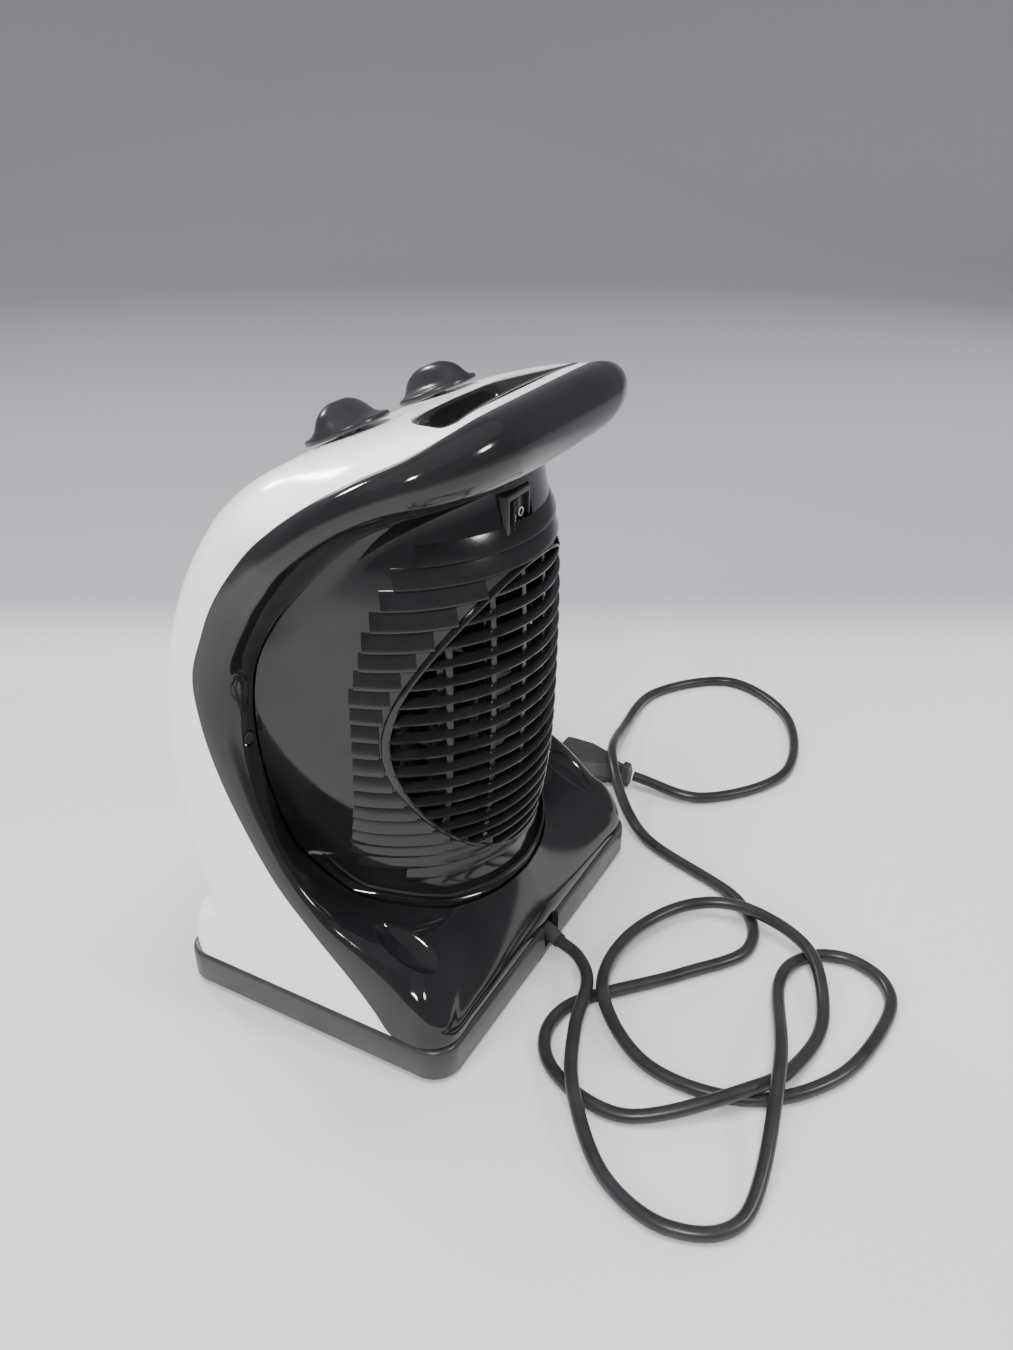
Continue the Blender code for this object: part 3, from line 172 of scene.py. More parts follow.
def surface(name, dark, light, rough, patch=30.0, grain=900.0, bump=0.03, metallic=0.0, coat=0.0, specular=0.5):
    """A material whose colour drifts between two, with uneven gloss and a fine moulded grain."""
    material = bpy.data.materials.new(name)
    material.use_nodes = True
    nodes, links = material.node_tree.nodes, material.node_tree.links
    shader = nodes["Principled BSDF"]
    shader.inputs["Metallic"].default_value = metallic
    shader.inputs["Coat Weight"].default_value = coat
    shader.inputs["Coat Roughness"].default_value = 0.06
    shader.inputs["Specular IOR Level"].default_value = specular
    place = nodes.new("ShaderNodeTexCoord")

    drift = nodes.new("ShaderNodeTexNoise")
    drift.inputs["Scale"].default_value = patch
    drift.inputs["Detail"].default_value = 7.0
    drift.inputs["Roughness"].default_value = 0.62
    ramp = nodes.new("ShaderNodeValToRGB")
    ramp.color_ramp.elements[0].position = 0.3
    ramp.color_ramp.elements[0].color = (*dark, 1.0)
    ramp.color_ramp.elements[1].position = 0.72
    ramp.color_ramp.elements[1].color = (*light, 1.0)
    links.new(place.outputs["Object"], drift.inputs["Vector"])
    links.new(drift.outputs["Fac"], ramp.inputs["Fac"])
    links.new(ramp.outputs["Color"], shader.inputs["Base Color"])

    smear = nodes.new("ShaderNodeTexNoise")
    smear.inputs["Scale"].default_value = patch * 0.6
    smear.inputs["Detail"].default_value = 8.0
    smear.inputs["Distortion"].default_value = 1.2
    spread = nodes.new("ShaderNodeMapRange")
    spread.inputs["From Min"].default_value = 0.3
    spread.inputs["From Max"].default_value = 0.7
    spread.inputs["To Min"].default_value = rough[0]
    spread.inputs["To Max"].default_value = rough[1]
    links.new(place.outputs["Object"], smear.inputs["Vector"])
    links.new(smear.outputs["Fac"], spread.inputs["Value"])
    links.new(spread.outputs["Result"], shader.inputs["Roughness"])

    fine = nodes.new("ShaderNodeTexNoise")
    fine.inputs["Scale"].default_value = grain
    fine.inputs["Detail"].default_value = 3.0
    raised = nodes.new("ShaderNodeBump")
    raised.inputs["Strength"].default_value = bump
    raised.inputs["Distance"].default_value = 0.0004
    links.new(place.outputs["Object"], fine.inputs["Vector"])
    links.new(fine.outputs["Fac"], raised.inputs["Height"])
    links.new(raised.outputs["Normal"], shader.inputs["Normal"])
    return material


WHITE = surface("white_gloss_plastic", (0.80, 0.80, 0.795), (0.86, 0.86, 0.855), (0.16, 0.28), bump=0.02, coat=0.25)
BLACK = surface("black_gloss_plastic", (0.008, 0.008, 0.009), (0.014, 0.014, 0.015), (0.05, 0.12), bump=0.012)
LOUVRE = surface("black_louvre_plastic", (0.009, 0.009, 0.010), (0.017, 0.017, 0.018), (0.1, 0.2), bump=0.03)
SATIN = surface("black_satin_plastic", (0.020, 0.020, 0.021), (0.034, 0.034, 0.036), (0.28, 0.42), bump=0.12)
KNOB = surface("black_knob_plastic", (0.012, 0.012, 0.013), (0.024, 0.024, 0.026), (0.2, 0.32), bump=0.06)
RUBBER = surface("black_rubber", (0.022, 0.022, 0.022), (0.04, 0.04, 0.04), (0.6, 0.8), bump=0.3)
PVC = surface("cord_sheath", (0.012, 0.012, 0.013), (0.024, 0.024, 0.026), (0.26, 0.4), patch=60.0, bump=0.08)
PLUG = surface("plug_plastic", (0.018, 0.018, 0.019), (0.034, 0.034, 0.036), (0.42, 0.58), bump=0.2)
GREY = surface("grey_nylon", (0.10, 0.10, 0.098), (0.15, 0.15, 0.146), (0.42, 0.6), bump=0.1)
DARK = surface("dark_nylon", (0.018, 0.018, 0.019), (0.034, 0.034, 0.036), (0.35, 0.5), bump=0.1)
STEEL = surface("zinc_steel", (0.36, 0.36, 0.37), (0.55, 0.55, 0.56), (0.28, 0.45), patch=90.0, metallic=1.0)
SCREW = surface("blackened_screw", (0.03, 0.03, 0.032), (0.06, 0.06, 0.064), (0.35, 0.5), patch=90.0, metallic=0.6)
CAN = surface("motor_can", (0.05, 0.05, 0.055), (0.09, 0.09, 0.095), (0.3, 0.5), patch=80.0, metallic=0.8)
PIN = surface("nickel_brass", (0.62, 0.60, 0.55), (0.76, 0.73, 0.66), (0.18, 0.3), patch=120.0, metallic=1.0)
FIN = surface("aluminium_fin", (0.45, 0.45, 0.47), (0.66, 0.66, 0.68), (0.3, 0.45), patch=120.0, metallic=1.0)
PRINT = surface("white_print", (0.62, 0.62, 0.62), (0.78, 0.78, 0.78), (0.45, 0.6), patch=300.0)
INK = surface("grey_print", (0.05, 0.05, 0.055), (0.12, 0.12, 0.125), (0.45, 0.6), patch=300.0)

NODE_LOOKS = {
    "front_shell": WHITE, "base_tray": SATIN, "cord_gland": RUBBER, "power_cord": PVC, "plug_body": PLUG,
    "plug_pin_1": PIN, "plug_pin_2": PIN, "fan_rotor": DARK, "heater_frame": DARK, "thermostat": GREY,
    "function_switch": GREY, "tip_plunger": GREY, "cord_clamp": GREY, "terminal_block": GREY, "fan_motor": CAN,
    "motor_bracket": CAN, "motor_shaft": STEEL, "thermal_cutout": STEEL, "intake_guard": LOUVRE,
    "knob_thermostat": KNOB, "knob_function": KNOB, "tip_switch": DARK, "fan_shroud": DARK, "grip_pocket": SATIN,
    "front_grille": SATIN, "rocker": KNOB, "rocker_housing": SATIN,
}
for node_name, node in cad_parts.items():
    look = NODE_LOOKS.get(node_name, BLACK)
    if node_name.startswith("rubber_foot"):
        look = RUBBER
    if node_name.startswith("ptc_element"):
        look = FIN
    if "screw" in node_name or node_name.endswith("_shaft"):
        look = STEEL
    if node_name.startswith(("cover_screw", "skirt_screw")):
        look = SCREW
    node.data.materials.clear()
    node.data.materials.append(look)

# --- mesh helpers -------------------------------------------------------------------------------------------


def add_piece(name, mesh, material, body=HOUSING, nodes=(), sharp=32):
    """Links a mesh as a piece that rides on a body, and stands for the CAD nodes named."""
    mesh.shade_smooth()
    mesh.set_sharp_from_angle(angle=math.radians(sharp))
    mesh.materials.append(material)
    piece = bpy.data.objects.new(name, mesh)
    bpy.context.scene.collection.objects.link(piece)
    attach(piece, body)
    if nodes:
        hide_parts(*nodes)
    return piece


def finish_mesh(bm, name, outward=True):
    if outward:
        bmesh.ops.recalc_face_normals(bm, faces=bm.faces)
    mesh = bpy.data.meshes.new(name)
    bm.to_mesh(mesh)
    bm.free()
    return mesh


def evaluated(piece):
    """The piece's mesh with its modifiers put into it, so that later steps see the final shape."""
    bpy.context.view_layer.update()
    graph = bpy.context.evaluated_depsgraph_get()
    mesh = bpy.data.meshes.new_from_object(piece.evaluated_get(graph), depsgraph=graph)
    old = piece.data
    piece.modifiers.clear()
    piece.data = mesh
    bpy.data.meshes.remove(old)
    return piece


def grid_mesh(name, rows, wall=None, mirror=True, inward=True):
    """A mesh over rows of points, mirrored in X = 0, and made wall thick on its inner side."""
    bm = bmesh.new()
    grid = [[bm.verts.new(Vector(point) * MM) for point in row] for row in rows]
    for lower, upper in zip(grid, grid[1:]):
        for i in range(len(lower) - 1):
            corners = (lower[i], lower[i + 1], upper[i + 1], upper[i])
            bm.faces.new(corners if inward else corners[::-1])
    mesh = bpy.data.meshes.new(name)
    bm.to_mesh(mesh)
    bm.free()
    helper = bpy.data.objects.new(name, mesh)
    bpy.context.scene.collection.objects.link(helper)
    if mirror:
        flip = helper.modifiers.new("other_half", "MIRROR")
        flip.use_clip = True
        flip.merge_threshold = 0.00001
    if wall:
        thicken = helper.modifiers.new("wall", "SOLIDIFY")
        thicken.thickness = wall * MM
        thicken.offset = -1.0
    evaluated(helper)
    made = helper.data
    bpy.data.objects.remove(helper)
    return made


def loft_mesh(name, rings, through=False):
    """A closed solid over rings of points."""
    bm = bmesh.new()
    rows = [[bm.verts.new(Vector(point) * MM) for point in ring] for ring in rings]
    for lower, upper in zip(rows, rows[1:] + (rows[:1] if through else [])):
        for i in range(len(lower)):
            j = (i + 1) % len(lower)
            bm.faces.new((lower[i], lower[j], upper[j], upper[i]))
    if not through:
        bm.faces.new(rows[0])
        bm.faces.new(rows[-1])
    return finish_mesh(bm, name)


def box_mesh(name, corners, bevel=0.0):
    bm = bmesh.new()
    for low, high in corners:
        middle = [(a + b) / 2 * MM for a, b in zip(low, high)]
        sides = [(b - a) * MM for a, b in zip(low, high)]
        bmesh.ops.create_cube(bm, size=1.0, matrix=Matrix.Translation(middle) @ Matrix.Diagonal((*sides, 1.0)))
    if bevel:
        bmesh.ops.bevel(bm, geom=list(bm.edges), offset=bevel * MM, segments=3, profile=0.5, affect="EDGES")
    return finish_mesh(bm, name)


def rod_mesh(name, ends, radius, sides=40):
    bm = bmesh.new()
    for start, end in ends:
        start, end = Vector(start) * MM, Vector(end) * MM
        along = end - start
        place = Matrix.Translation((start + end) / 2) @ along.to_track_quat("Z", "Y").to_matrix().to_4x4()
        bmesh.ops.create_cone(bm, cap_ends=True, segments=sides, radius1=radius * MM, radius2=radius * MM,
                              depth=along.length, matrix=place)
    return finish_mesh(bm, name)


def cut(mesh, cutters, solver="EXACT"):
    """The mesh with each cutter's mesh taken away from it."""
    body = bpy.data.objects.new("cut_body", mesh)
    bpy.context.scene.collection.objects.link(body)
    tools = []
    for cutter in cutters:
        tool = bpy.data.objects.new("cut_tool", cutter)
        bpy.context.scene.collection.objects.link(tool)
        tools.append(tool)
        modifier = body.modifiers.new("cut", "BOOLEAN")
        modifier.operation = "DIFFERENCE"
        modifier.solver = solver
        modifier.object = tool
    evaluated(body)
    made = body.data
    for thing in [body, *tools]:
        bpy.data.objects.remove(thing)
    return made


def smooth_line(points, steps):
    """Points on a Catmull-Rom curve through the given ones, steps to each stretch."""
    points = [Vector(p) for p in points]
    ends = [2 * points[0] - points[1], *points, 2 * points[-1] - points[-2]]
    curve = []
    for i in range(1, len(points)):
        a, b, c, d = ends[i - 1 : i + 3]
        for k in range(steps):
            t = k / steps
            curve.append(0.5 * (2 * b + (c - a) * t + (2 * a - 5 * b + 4 * c - d) * t**2
                                + (3 * b - a - 3 * c + d) * t**3))
    return curve + [points[-1]]


def centripetal(points, steps):
    """As smooth_line, with the knots spaced by distance, so uneven points don't make it overshoot."""
    points = [Vector(p) for p in points]
    ends = [2 * points[0] - points[1], *points, 2 * points[-1] - points[-2]]
    curve = []
    for i in range(1, len(points)):
        a, b, c, d = ends[i - 1 : i + 3]
        t0 = 0.0
        t1 = t0 + max((b - a).length, 1e-4) ** 0.5
        t2 = t1 + max((c - b).length, 1e-4) ** 0.5
        t3 = t2 + max((d - c).length, 1e-4) ** 0.5
        for k in range(steps):
            t = t1 + (t2 - t1) * k / steps
            ab = a.lerp(b, (t - t0) / (t1 - t0))
            bc = b.lerp(c, (t - t1) / (t2 - t1))
            cd = c.lerp(d, (t - t2) / (t3 - t2))
            abc = ab.lerp(bc, (t - t0) / (t2 - t0))
            bcd = bc.lerp(cd, (t - t1) / (t3 - t1))
            curve.append(abc.lerp(bcd, (t - t1) / (t2 - t1)))
    return curve + [points[-1]]


def finer(rows, steps):
    """More rows between the given ones, along a smooth curve down each column."""
    columns = [centripetal([row[i] for row in rows], steps) for i in range(len(rows[0]))]
    return [[column[k] for column in columns] for k in range(len(columns[0]))]


def rounded_rectangle(half_x, half_y, radius, z, steps=14):
    ring = []
    for quarter, (sx, sy) in enumerate([(1, 1), (-1, 1), (-1, -1), (1, -1)]):
        for k in range(steps + 1):
            angle = math.pi / 2 * (quarter + k / steps)
            ring.append((sx * (half_x - radius) + radius * math.cos(angle),
                         sy * (half_y - radius) + radius * math.sin(angle), z))
    return ring


# --- white shell --------------------------------------------------------------------------------------------


def shell_section(front, seam, radius, flat_steps=10, arc_steps=14, side_steps=6):
    front_point = Vector((0.0, *front))
    seam = Vector(seam)
    back = Vector((0.0, seam.y - front[0], seam.z - front[1]))
    depth = back.length
    back.normalize()
    if radius == 0:
        count = flat_steps + arc_steps + 1 + side_steps
        shares = np.interp(np.linspace(0, 10, count), range(11), SHOULDER_SHARES)
        points = [(seam.x * share, depth * share**SHOULDER_POWER) for share in shares]
        return [front_point + Vector((x, 0.0, 0.0)) + back * inward for x, inward in points]
    crown = min(1.5, depth * 0.06)
    arc_depth = min(radius, depth * 0.97) - crown
    flat = seam.x - radius
    points = []
    for k in range(flat_steps):
        x = flat * k / flat_steps
        points.append((x, crown * (x / flat) ** 2))
    for k in range(arc_steps + 1):
        angle = math.pi / 2 * k / arc_steps
        points.append((flat + radius * math.sin(angle), crown + arc_depth * (1 - math.cos(angle))))
    reached = crown + arc_depth
    for k in range(1, side_steps + 1):
        points.append((seam.x, reached + (depth - reached) * k / side_steps))
    return [front_point + Vector((x, 0.0, 0.0)) + back * inward for x, inward in points]


def outlet_ring(y, grow):
    flat = rounded_rectangle(OUTLET_HALF[0] + grow, OUTLET_HALF[1] + grow, OUTLET_CORNER, 0.0)
    return [(x, y, OUTLET_Z + up) for x, up, _ in flat]


def knob_point(side, height, across=0.0, along=0.0):
    axis = Vector((0.0, -math.sin(KNOB_TILT), math.cos(KNOB_TILT)))
    slope = Vector((0.0, math.cos(KNOB_TILT), math.sin(KNOB_TILT)))
    base = Vector((side * KNOB_X, *KNOB_BASE))
    return base + axis * height + Vector((across, 0.0, 0.0)) + slope * along


def pocket_ring(grow, height, slanted=False, squeeze=0.0, steps=6, ends=0.0, rear=0.0):
    half = POCKET_OUTLINE
    corners = half + [(0.0, 54.8)] + [(-x, y) for x, y in half[:0:-1]]
    closed = [Vector((*p, 0.0)) for p in [corners[-1], *corners, corners[0], corners[1]]]
    line = centripetal(closed, steps)[steps : -2 * steps]
    ring = []
    for i, point in enumerate(line):
        along = (line[(i + 1) % len(line)] - line[i - 1]).normalized()
        x, y = point.x + along.y * grow, point.y - along.x * grow
        y = 43.0 + (y - 43.0) * (1.0 - squeeze * 0.5)
        y -= rear * max(0.0, min(1.0, (y - 38.0) / 14.0))
        z = height + (y - KNOB_BASE[0]) * math.tan(TOP_SLOPE) - 0.0008 * x**2 if slanted else height
        ring.append((x * (1.0 - squeeze) * (1.0 - ends), y, z))
    return ring


def make_white_shell():
    rows = finer([shell_section(*station) for station in STATIONS], 7)
    mesh = grid_mesh("white_shell", rows, wall=2.2)
    outlet = loft_mesh("outlet", [outlet_ring(-95.0, 0.0), outlet_ring(-50.0, 0.0)])
    slot = loft_mesh("slot", [pocket_ring(GAP, 240.0), pocket_ring(GAP, 300.0)])
    holes = rod_mesh("shaft_holes", [(knob_point(s, -15.0), knob_point(s, 15.0)) for s in (-1, 1)], 5.0)
    mesh = cut(mesh, [outlet, slot, holes])
    make_ticks(BVHTree.FromPolygons([v.co.copy() for v in mesh.vertices], [tuple(p.vertices) for p in mesh.polygons]))
    return add_piece("white_shell", mesh, WHITE, nodes=["front_shell"])


def make_ticks(tree):
    """Short printed strokes on the shell round each knob."""
    bm = bmesh.new()
    for side in (-1, 1):
        axis = (knob_point(side, 1.0) - knob_point(side, 0.0)).normalized()
        for degrees in range(-135, 136, 45):
            turn = math.radians(degrees)
            start = knob_point(side, 30.0, 21.0 * math.sin(turn), 21.0 * math.cos(turn))
            spot, normal, _, _ = tree.ray_cast(start * MM, -axis, 0.08)
            if spot is None:
                continue
            outward = (start - knob_point(side, 30.0)).normalized()
            outward = (outward - normal * outward.dot(normal)).normalized()
            turned = Matrix((normal.cross(outward), outward, normal)).transposed().to_4x4()
            size = Matrix.Diagonal((0.0007, 0.0026 if degrees % 90 else 0.0034, 0.0002, 1.0))
            bmesh.ops.create_cube(bm, size=1.0, matrix=Matrix.Translation(spot) @ turned @ size)
    return add_piece("dial_ticks", finish_mesh(bm, "dial_ticks"), INK)


# --- front outlet -------------------------------------------------------------------------------------------


FRONT_LINE = centripetal([(0.0, y, z) for (y, z), _, _ in STATIONS], 7)


def front_depth(z):
    for low, high in zip(FRONT_LINE, FRONT_LINE[1:]):
        if z <= high.z:
            return low.y + (high.y - low.y) * (z - low.z) / (high.z - low.z)
    return FRONT_LINE[-1].y


def make_front():
    section = centripetal([(-GAP, 3.0, 0), (-GAP, -0.5, 0), (5.0, -0.5, 0), (5.0, -3.0, 0), (2.5, -6.3, 0),
                           (-1.2, -6.3, 0), (-3.6, -3.0, 0), (-3.6, 3.0, 0)], 4)
    rings = []
    for grow, behind, _ in section:
        ring = []
        outline = outlet_ring(0.0, grow)
        for point, after in zip(outline, outline[1:] + outline[:1]):
            parts = 14 if abs(after[2] - point[2]) > 40.0 else 1
            for k in range(parts):
                z = point[2] + (after[2] - point[2]) * k / parts
                x = point[0] + (after[0] - point[0]) * k / parts
                ring.append((x, front_depth(z) + behind, z))
        rings.append(ring)
    mesh = loft_mesh("outlet_rim", rings, through=True)
    add_piece("outlet_rim", mesh, BLACK, nodes=["front_bezel"])

    bm = bmesh.new()
    for row in range(10):
        z = OUTLET_Z - 55.9 + row * 12.4
        profile = [(-0.6, -2.0), (0.0, -1.2), (0.4, 0.0), (1.4, 1.2), (3.4, 1.9), (5.6, 1.7), (5.6, 0.4), (3.4, 0.2),
                   (1.6, -0.9)]
        rings = []
        for k in range(25):
            x = -64.0 + 128.0 * k / 24
            bow = 2.2 * (x / 78.0) ** 2
            rings.append([bm.verts.new(Vector((x, front_depth(z) + 3.4 + bow + out, z + up)) * MM)
                          for out, up in profile])
        for near, far in zip(rings, rings[1:]):
            for i in range(len(profile)):
                j = (i + 1) % len(profile)
                bm.faces.new((near[i], near[j], far[j], far[i]))
        bm.faces.new(rings[0])
        bm.faces.new(rings[-1])
    add_piece("outlet_slats", finish_mesh(bm, "outlet_slats"), SATIN)


# --- black rear frame ---------------------------------------------------------------------------------------


def bezier(points, weight, t):
    shares = [(1 - t) ** 3, 3 * weight * t * (1 - t) ** 2, 3 * weight * t**2 * (1 - t), t**3]
    total = Vector((0.0, 0.0, 0.0))
    for share, point in zip(shares, points):
        total += point * share
    return total / sum(shares)


def frame_section(start, corner_a, corner_b, groove, weight, steps=34):
    ahead = start + (corner_a - start).normalized() * SEAM_LAND
    control = (ahead, corner_a, corner_b, groove)
    return [start] + [bezier(control, weight, k / steps) for k in range(steps + 1)]


def section_along(start, corner, groove, tightness):
    hug = 0.68 + 0.2 * tightness
    return start, start.lerp(corner, hug), corner.lerp(groove, 1 - hug), groove, 1.0 + 1.6 * tightness


def rim_sections():
    half_depth = TRAY_DEPTH / 2 - 1.5
    middle = (BODY_HALF_WIDTH - TRAY_CORNER, half_depth - TRAY_CORNER)
    places = [(x, half_depth) for x in (0.0, 24.0, 48.0, 70.0)]
    for angle in (85.0, 60.0, 32.0, 5.0):
        turn = math.radians(angle)
        places.append((middle[0] + TRAY_CORNER * math.cos(turn), middle[1] + TRAY_CORNER * math.sin(turn)))
    sections = []
    for (x, y), (groove, height) in zip(places, RIM_GROOVE):
        corner = Vector((x, y, BODY_BOTTOM + height))
        sections.append(section_along(Vector((x, y, BODY_BOTTOM)), corner, Vector(groove), 0.8))
    return sections


def shell_normal(i):
    front, seam, radius = STATIONS[i]
    if radius:
        turned = max(0.0, (i - 9) / 5.0) ** 2
        return Vector((1.0, 0.0, 0.0)).lerp(shell_normal(14), turned).normalized()
    up = Vector((0.0, *STATIONS[min(i + 1, len(STATIONS) - 1)][0])) - Vector((0.0, *STATIONS[i - 1][0]))
    inward = Vector((0.0, seam[1] - front[0], seam[2] - front[1]))
    slope = math.atan(SHOULDER_POWER * inward.length / seam[0])
    across = Vector((math.cos(slope), 0.0, 0.0)) + inward.normalized() * math.sin(slope)
    return across.cross(up).normalized()


def handle_seam(share):
    (front_y, front_z), (half, side_y, side_z), _ = STATIONS[-1]
    sag = share**SHOULDER_POWER
    return Vector((half * share, front_y + (side_y - front_y) * sag, front_z + (side_z - front_z) * sag))


def side_sections():
    seams = [Vector(seam) for _, seam, _ in STATIONS] + [handle_seam(HANDLE_SHARES[0])]
    sections = []
    for i, (groove, run) in enumerate(GROOVE):
        along = (seams[i + 1] - seams[max(i - 1, 0)]).normalized()
        back = along.cross(shell_normal(i)).normalized()
        start = seams[i] + back * GAP
        if i == 0:
            start = seams[i] + Vector((0.0, GAP * 1.6, 0.0))
        corner = Vector((BODY_HALF_WIDTH, *RIDGE[i])) if i < len(RIDGE) else start + back * run
        tightness = max(0.0, min(0.8, 1.2 - i * 0.16))
        start, near, far, end, weight = section_along(start, corner, Vector(groove), tightness)
        share = max(0.0, (i - TUBE_FROM) / (len(GROOVE) - 1 - TUBE_FROM))
        share = share * share * (3.0 - 2.0 * share)
        tube_near, tube_far = tube_corners(start, along, 0.6 + 0.4 * share)
        sections.append((start, near.lerp(tube_near, share), far.lerp(tube_far, share), end, weight))
    return sections


def tube_corners(start, along, reach):
    """The two control points that round the handle's tube, from the seam and the way it runs there."""
    out = along.cross(Vector((0.0, 0.0, 1.0))).normalized()
    down = along.cross(out)
    near = start + (out * TUBE_OUT[0] - down * TUBE_DROP[0]) * reach
    far = start + (out * TUBE_OUT[1] + down * TUBE_DROP[1]) * reach
    return near, far


def handle_sections():
    sections = []
    for share in HANDLE_SHARES:
        start = handle_seam(share) + Vector((0.0, GAP, 0.0))
        along = (handle_seam(abs(share - 0.06)) - handle_seam(share + 0.06)).normalized()
        if share == 0.0:
            along = Vector((-1.0, 0.0, 0.0))
        near, far = tube_corners(start, along, 1.0)
        groove = Vector((start.x * 0.45, HANDLE_GROOVE[0] - share**2, HANDLE_GROOVE[1]))
        sections.append((start, near, far, groove, 1.0))
    return sections


# The oval dish round each screw in the skirt: how far below the surface it lies at shares of its half widths
DISH_PLACE = (79.0, 44.0)
DISH_HALF = (17.0, 8.8)
DISH_TOP = [(1.04, -0.6), (1.0, 0.05), (0.97, 0.0), (0.92, -0.5), (0.8, -1.4), (0.6, -2.1), (0.35, -2.5), (0.1, -2.6)]
DISH_UNDER = [(1.04, -2.2), (0.6, -3.6), (0.1, -3.8)]


def make_dish(tree, side):
    """Adds the dish on one side of the skirt, and returns the cutter that makes room for it."""
    down = Vector((0.0, 0.0, -1.0))
    centre, normal, _, _ = tree.ray_cast(Vector((side * DISH_PLACE[0], DISH_PLACE[1], 100.0)) * MM, down)
    if normal.z < 0:
        normal.negate()
    length = Vector((-0.1 * side, 0.82, -0.57))
    length = (length - normal * length.dot(normal)).normalized()
    across = normal.cross(length)

    def ring(share, depth, follow=True):
        points = []
        for k in range(56):
            turn = math.tau * k / 56
            flat = centre + (length * (DISH_HALF[0] * math.cos(turn)) + across * (DISH_HALF[1] * math.sin(turn))) * (share * MM)
            hit = tree.ray_cast(flat + normal * 0.02, -normal)[0] if follow else None
            points.append(((hit or flat) + normal * (depth * MM)) / MM)
        return points

    rings = [ring(*place) for place in DISH_UNDER[::-1] + DISH_TOP]
    add_piece(f"skirt_dish_{1 if side > 0 else 2}", loft_mesh("skirt_dish", rings), BLACK)
    return loft_mesh("dish_room", [ring(1.0, -9.0, False), ring(1.0, 9.0, False)])


def make_rear_frame():
    rows = finer([frame_section(*section) for section in rim_sections() + side_sections() + handle_sections()], 7)
    mesh = grid_mesh("frame_moulding", rows, wall=1.3)
    tools = []
    for side in (1, -1):
        for x, y, z in COVER_SCREWS:
            tools.append(rod_mesh("hole", [((side * x, y - 14.0, z), (side * x, y + 14.0, z))], 3.6))
    tools.append(box_mesh("notch", [((-6.4, 66.0, 10.0), (6.4, 80.0, 21.0))]))
    surface_tree = BVHTree.FromPolygons([v.co.copy() for v in mesh.vertices], [tuple(p.vertices) for p in mesh.polygons])
    for side in (1, -1):
        tools.append(make_dish(surface_tree, side))
    mesh = cut(mesh, tools)
    return add_piece("frame_moulding", mesh, BLACK, nodes=["rear_frame"])


# --- rear cover ---------------------------------------------------------------------------------------------


def barrel_radius(z):
    heights = [height for height, _ in BARREL]
    radii = [radius for _, radius in BARREL]
    return float(np.interp(z, heights, radii))


BARREL_LINE = centripetal([(radius, 0.0, height) for height, radius in BARREL], 8)


def smooth_radius(z):
    heights = [p.z for p in BARREL_LINE]
    radii = [p.x for p in BARREL_LINE]
    return float(np.interp(z, heights, radii))


def groove_stretches(steps=8):
    path = [Vector(g) for g, _ in RIM_GROOVE + GROOVE] + [Vector((0.0, *HANDLE_GROOVE))]
    first, last = len(RIM_GROOVE) + 4, len(RIM_GROOVE) + 14
    edge = []
    for k, point in enumerate(path):
        axis = Vector((0.0, BARREL_CENTRE_Y, point.z))
        lift = 1.0 if k < first else -1.0 if k > last else 0.0
        edge.append(point + (axis - point).normalized() * 1.2 + Vector((0.0, 0.0, lift)))
    fine = centripetal(edge, steps)
    return fine[: first * steps + 1], fine[first * steps : last * steps + 1], fine[last * steps :]


GROOVE_PARTS = groove_stretches()


def polar(point):
    return math.atan2(point.y - BARREL_CENTRE_Y, point.x)


def at_angle(path, angle):
    ordered = sorted(path, key=polar)
    for low, high in zip(ordered, ordered[1:]):
        if angle <= polar(high):
            share = (angle - polar(low)) / max(polar(high) - polar(low), 1e-9)
            return low.lerp(high, max(0.0, share))
    return ordered[-1]


def cover_row(edge, bottom, top, steps=44):
    under, _, over = GROOVE_PARTS
    radius = smooth_radius(edge.z)
    distance = math.hypot(edge.x, edge.y - BARREL_CENTRE_Y)
    leave = polar(edge) + math.acos(min(1.0, radius / distance))
    angles = [math.pi / 2 + (leave - math.pi / 2) * k / steps for k in range(steps + 1)]
    tangent = Vector((radius * math.cos(leave), BARREL_CENTRE_Y + radius * math.sin(leave), edge.z))
    panel = [tangent.lerp(edge, share) for share in (0.2, 0.4, 0.6, 0.8, 0.93, 1.0)]
    points = []
    for angle in angles + [polar(point) for point in panel]:
        low, high = at_angle(under, angle), at_angle(over, angle)
        z = edge.z + (low.z - under[-1].z) * bottom + (high.z - over[0].z) * top
        around = smooth_radius(z)
        point = Vector((around * math.cos(angle), BARREL_CENTRE_Y + around * math.sin(angle), z))
        if len(points) > steps:
            point = Vector((*panel[len(points) - steps - 1].xy, z))
        for end, pull in ((low, bottom**6), (high, top**6)):
            point = point.lerp(end, pull)
        points.append(point)
    points[0].x = 0.0
    return points


def cover_rows():
    beside = GROOVE_PARTS[1]
    low, high = beside[0].z, beside[-1].z
    heights = np.concatenate([np.linspace(low + 0.01, 66, 8)[:-1], np.linspace(66, 212, 60), np.linspace(212, high, 26)[1:]])
    rows = []
    for z in heights:
        for before, after in zip(beside, beside[1:]):
            if z <= after.z:
                break
        edge = before.lerp(after, (z - before.z) / (after.z - before.z))
        bottom = max(0.0, 1.0 - (z - low) / 36.0)
        top = max(0.0, 1.0 - (high - z) / 26.0)
        rows.append(cover_row(edge, bottom, top))
    return rows


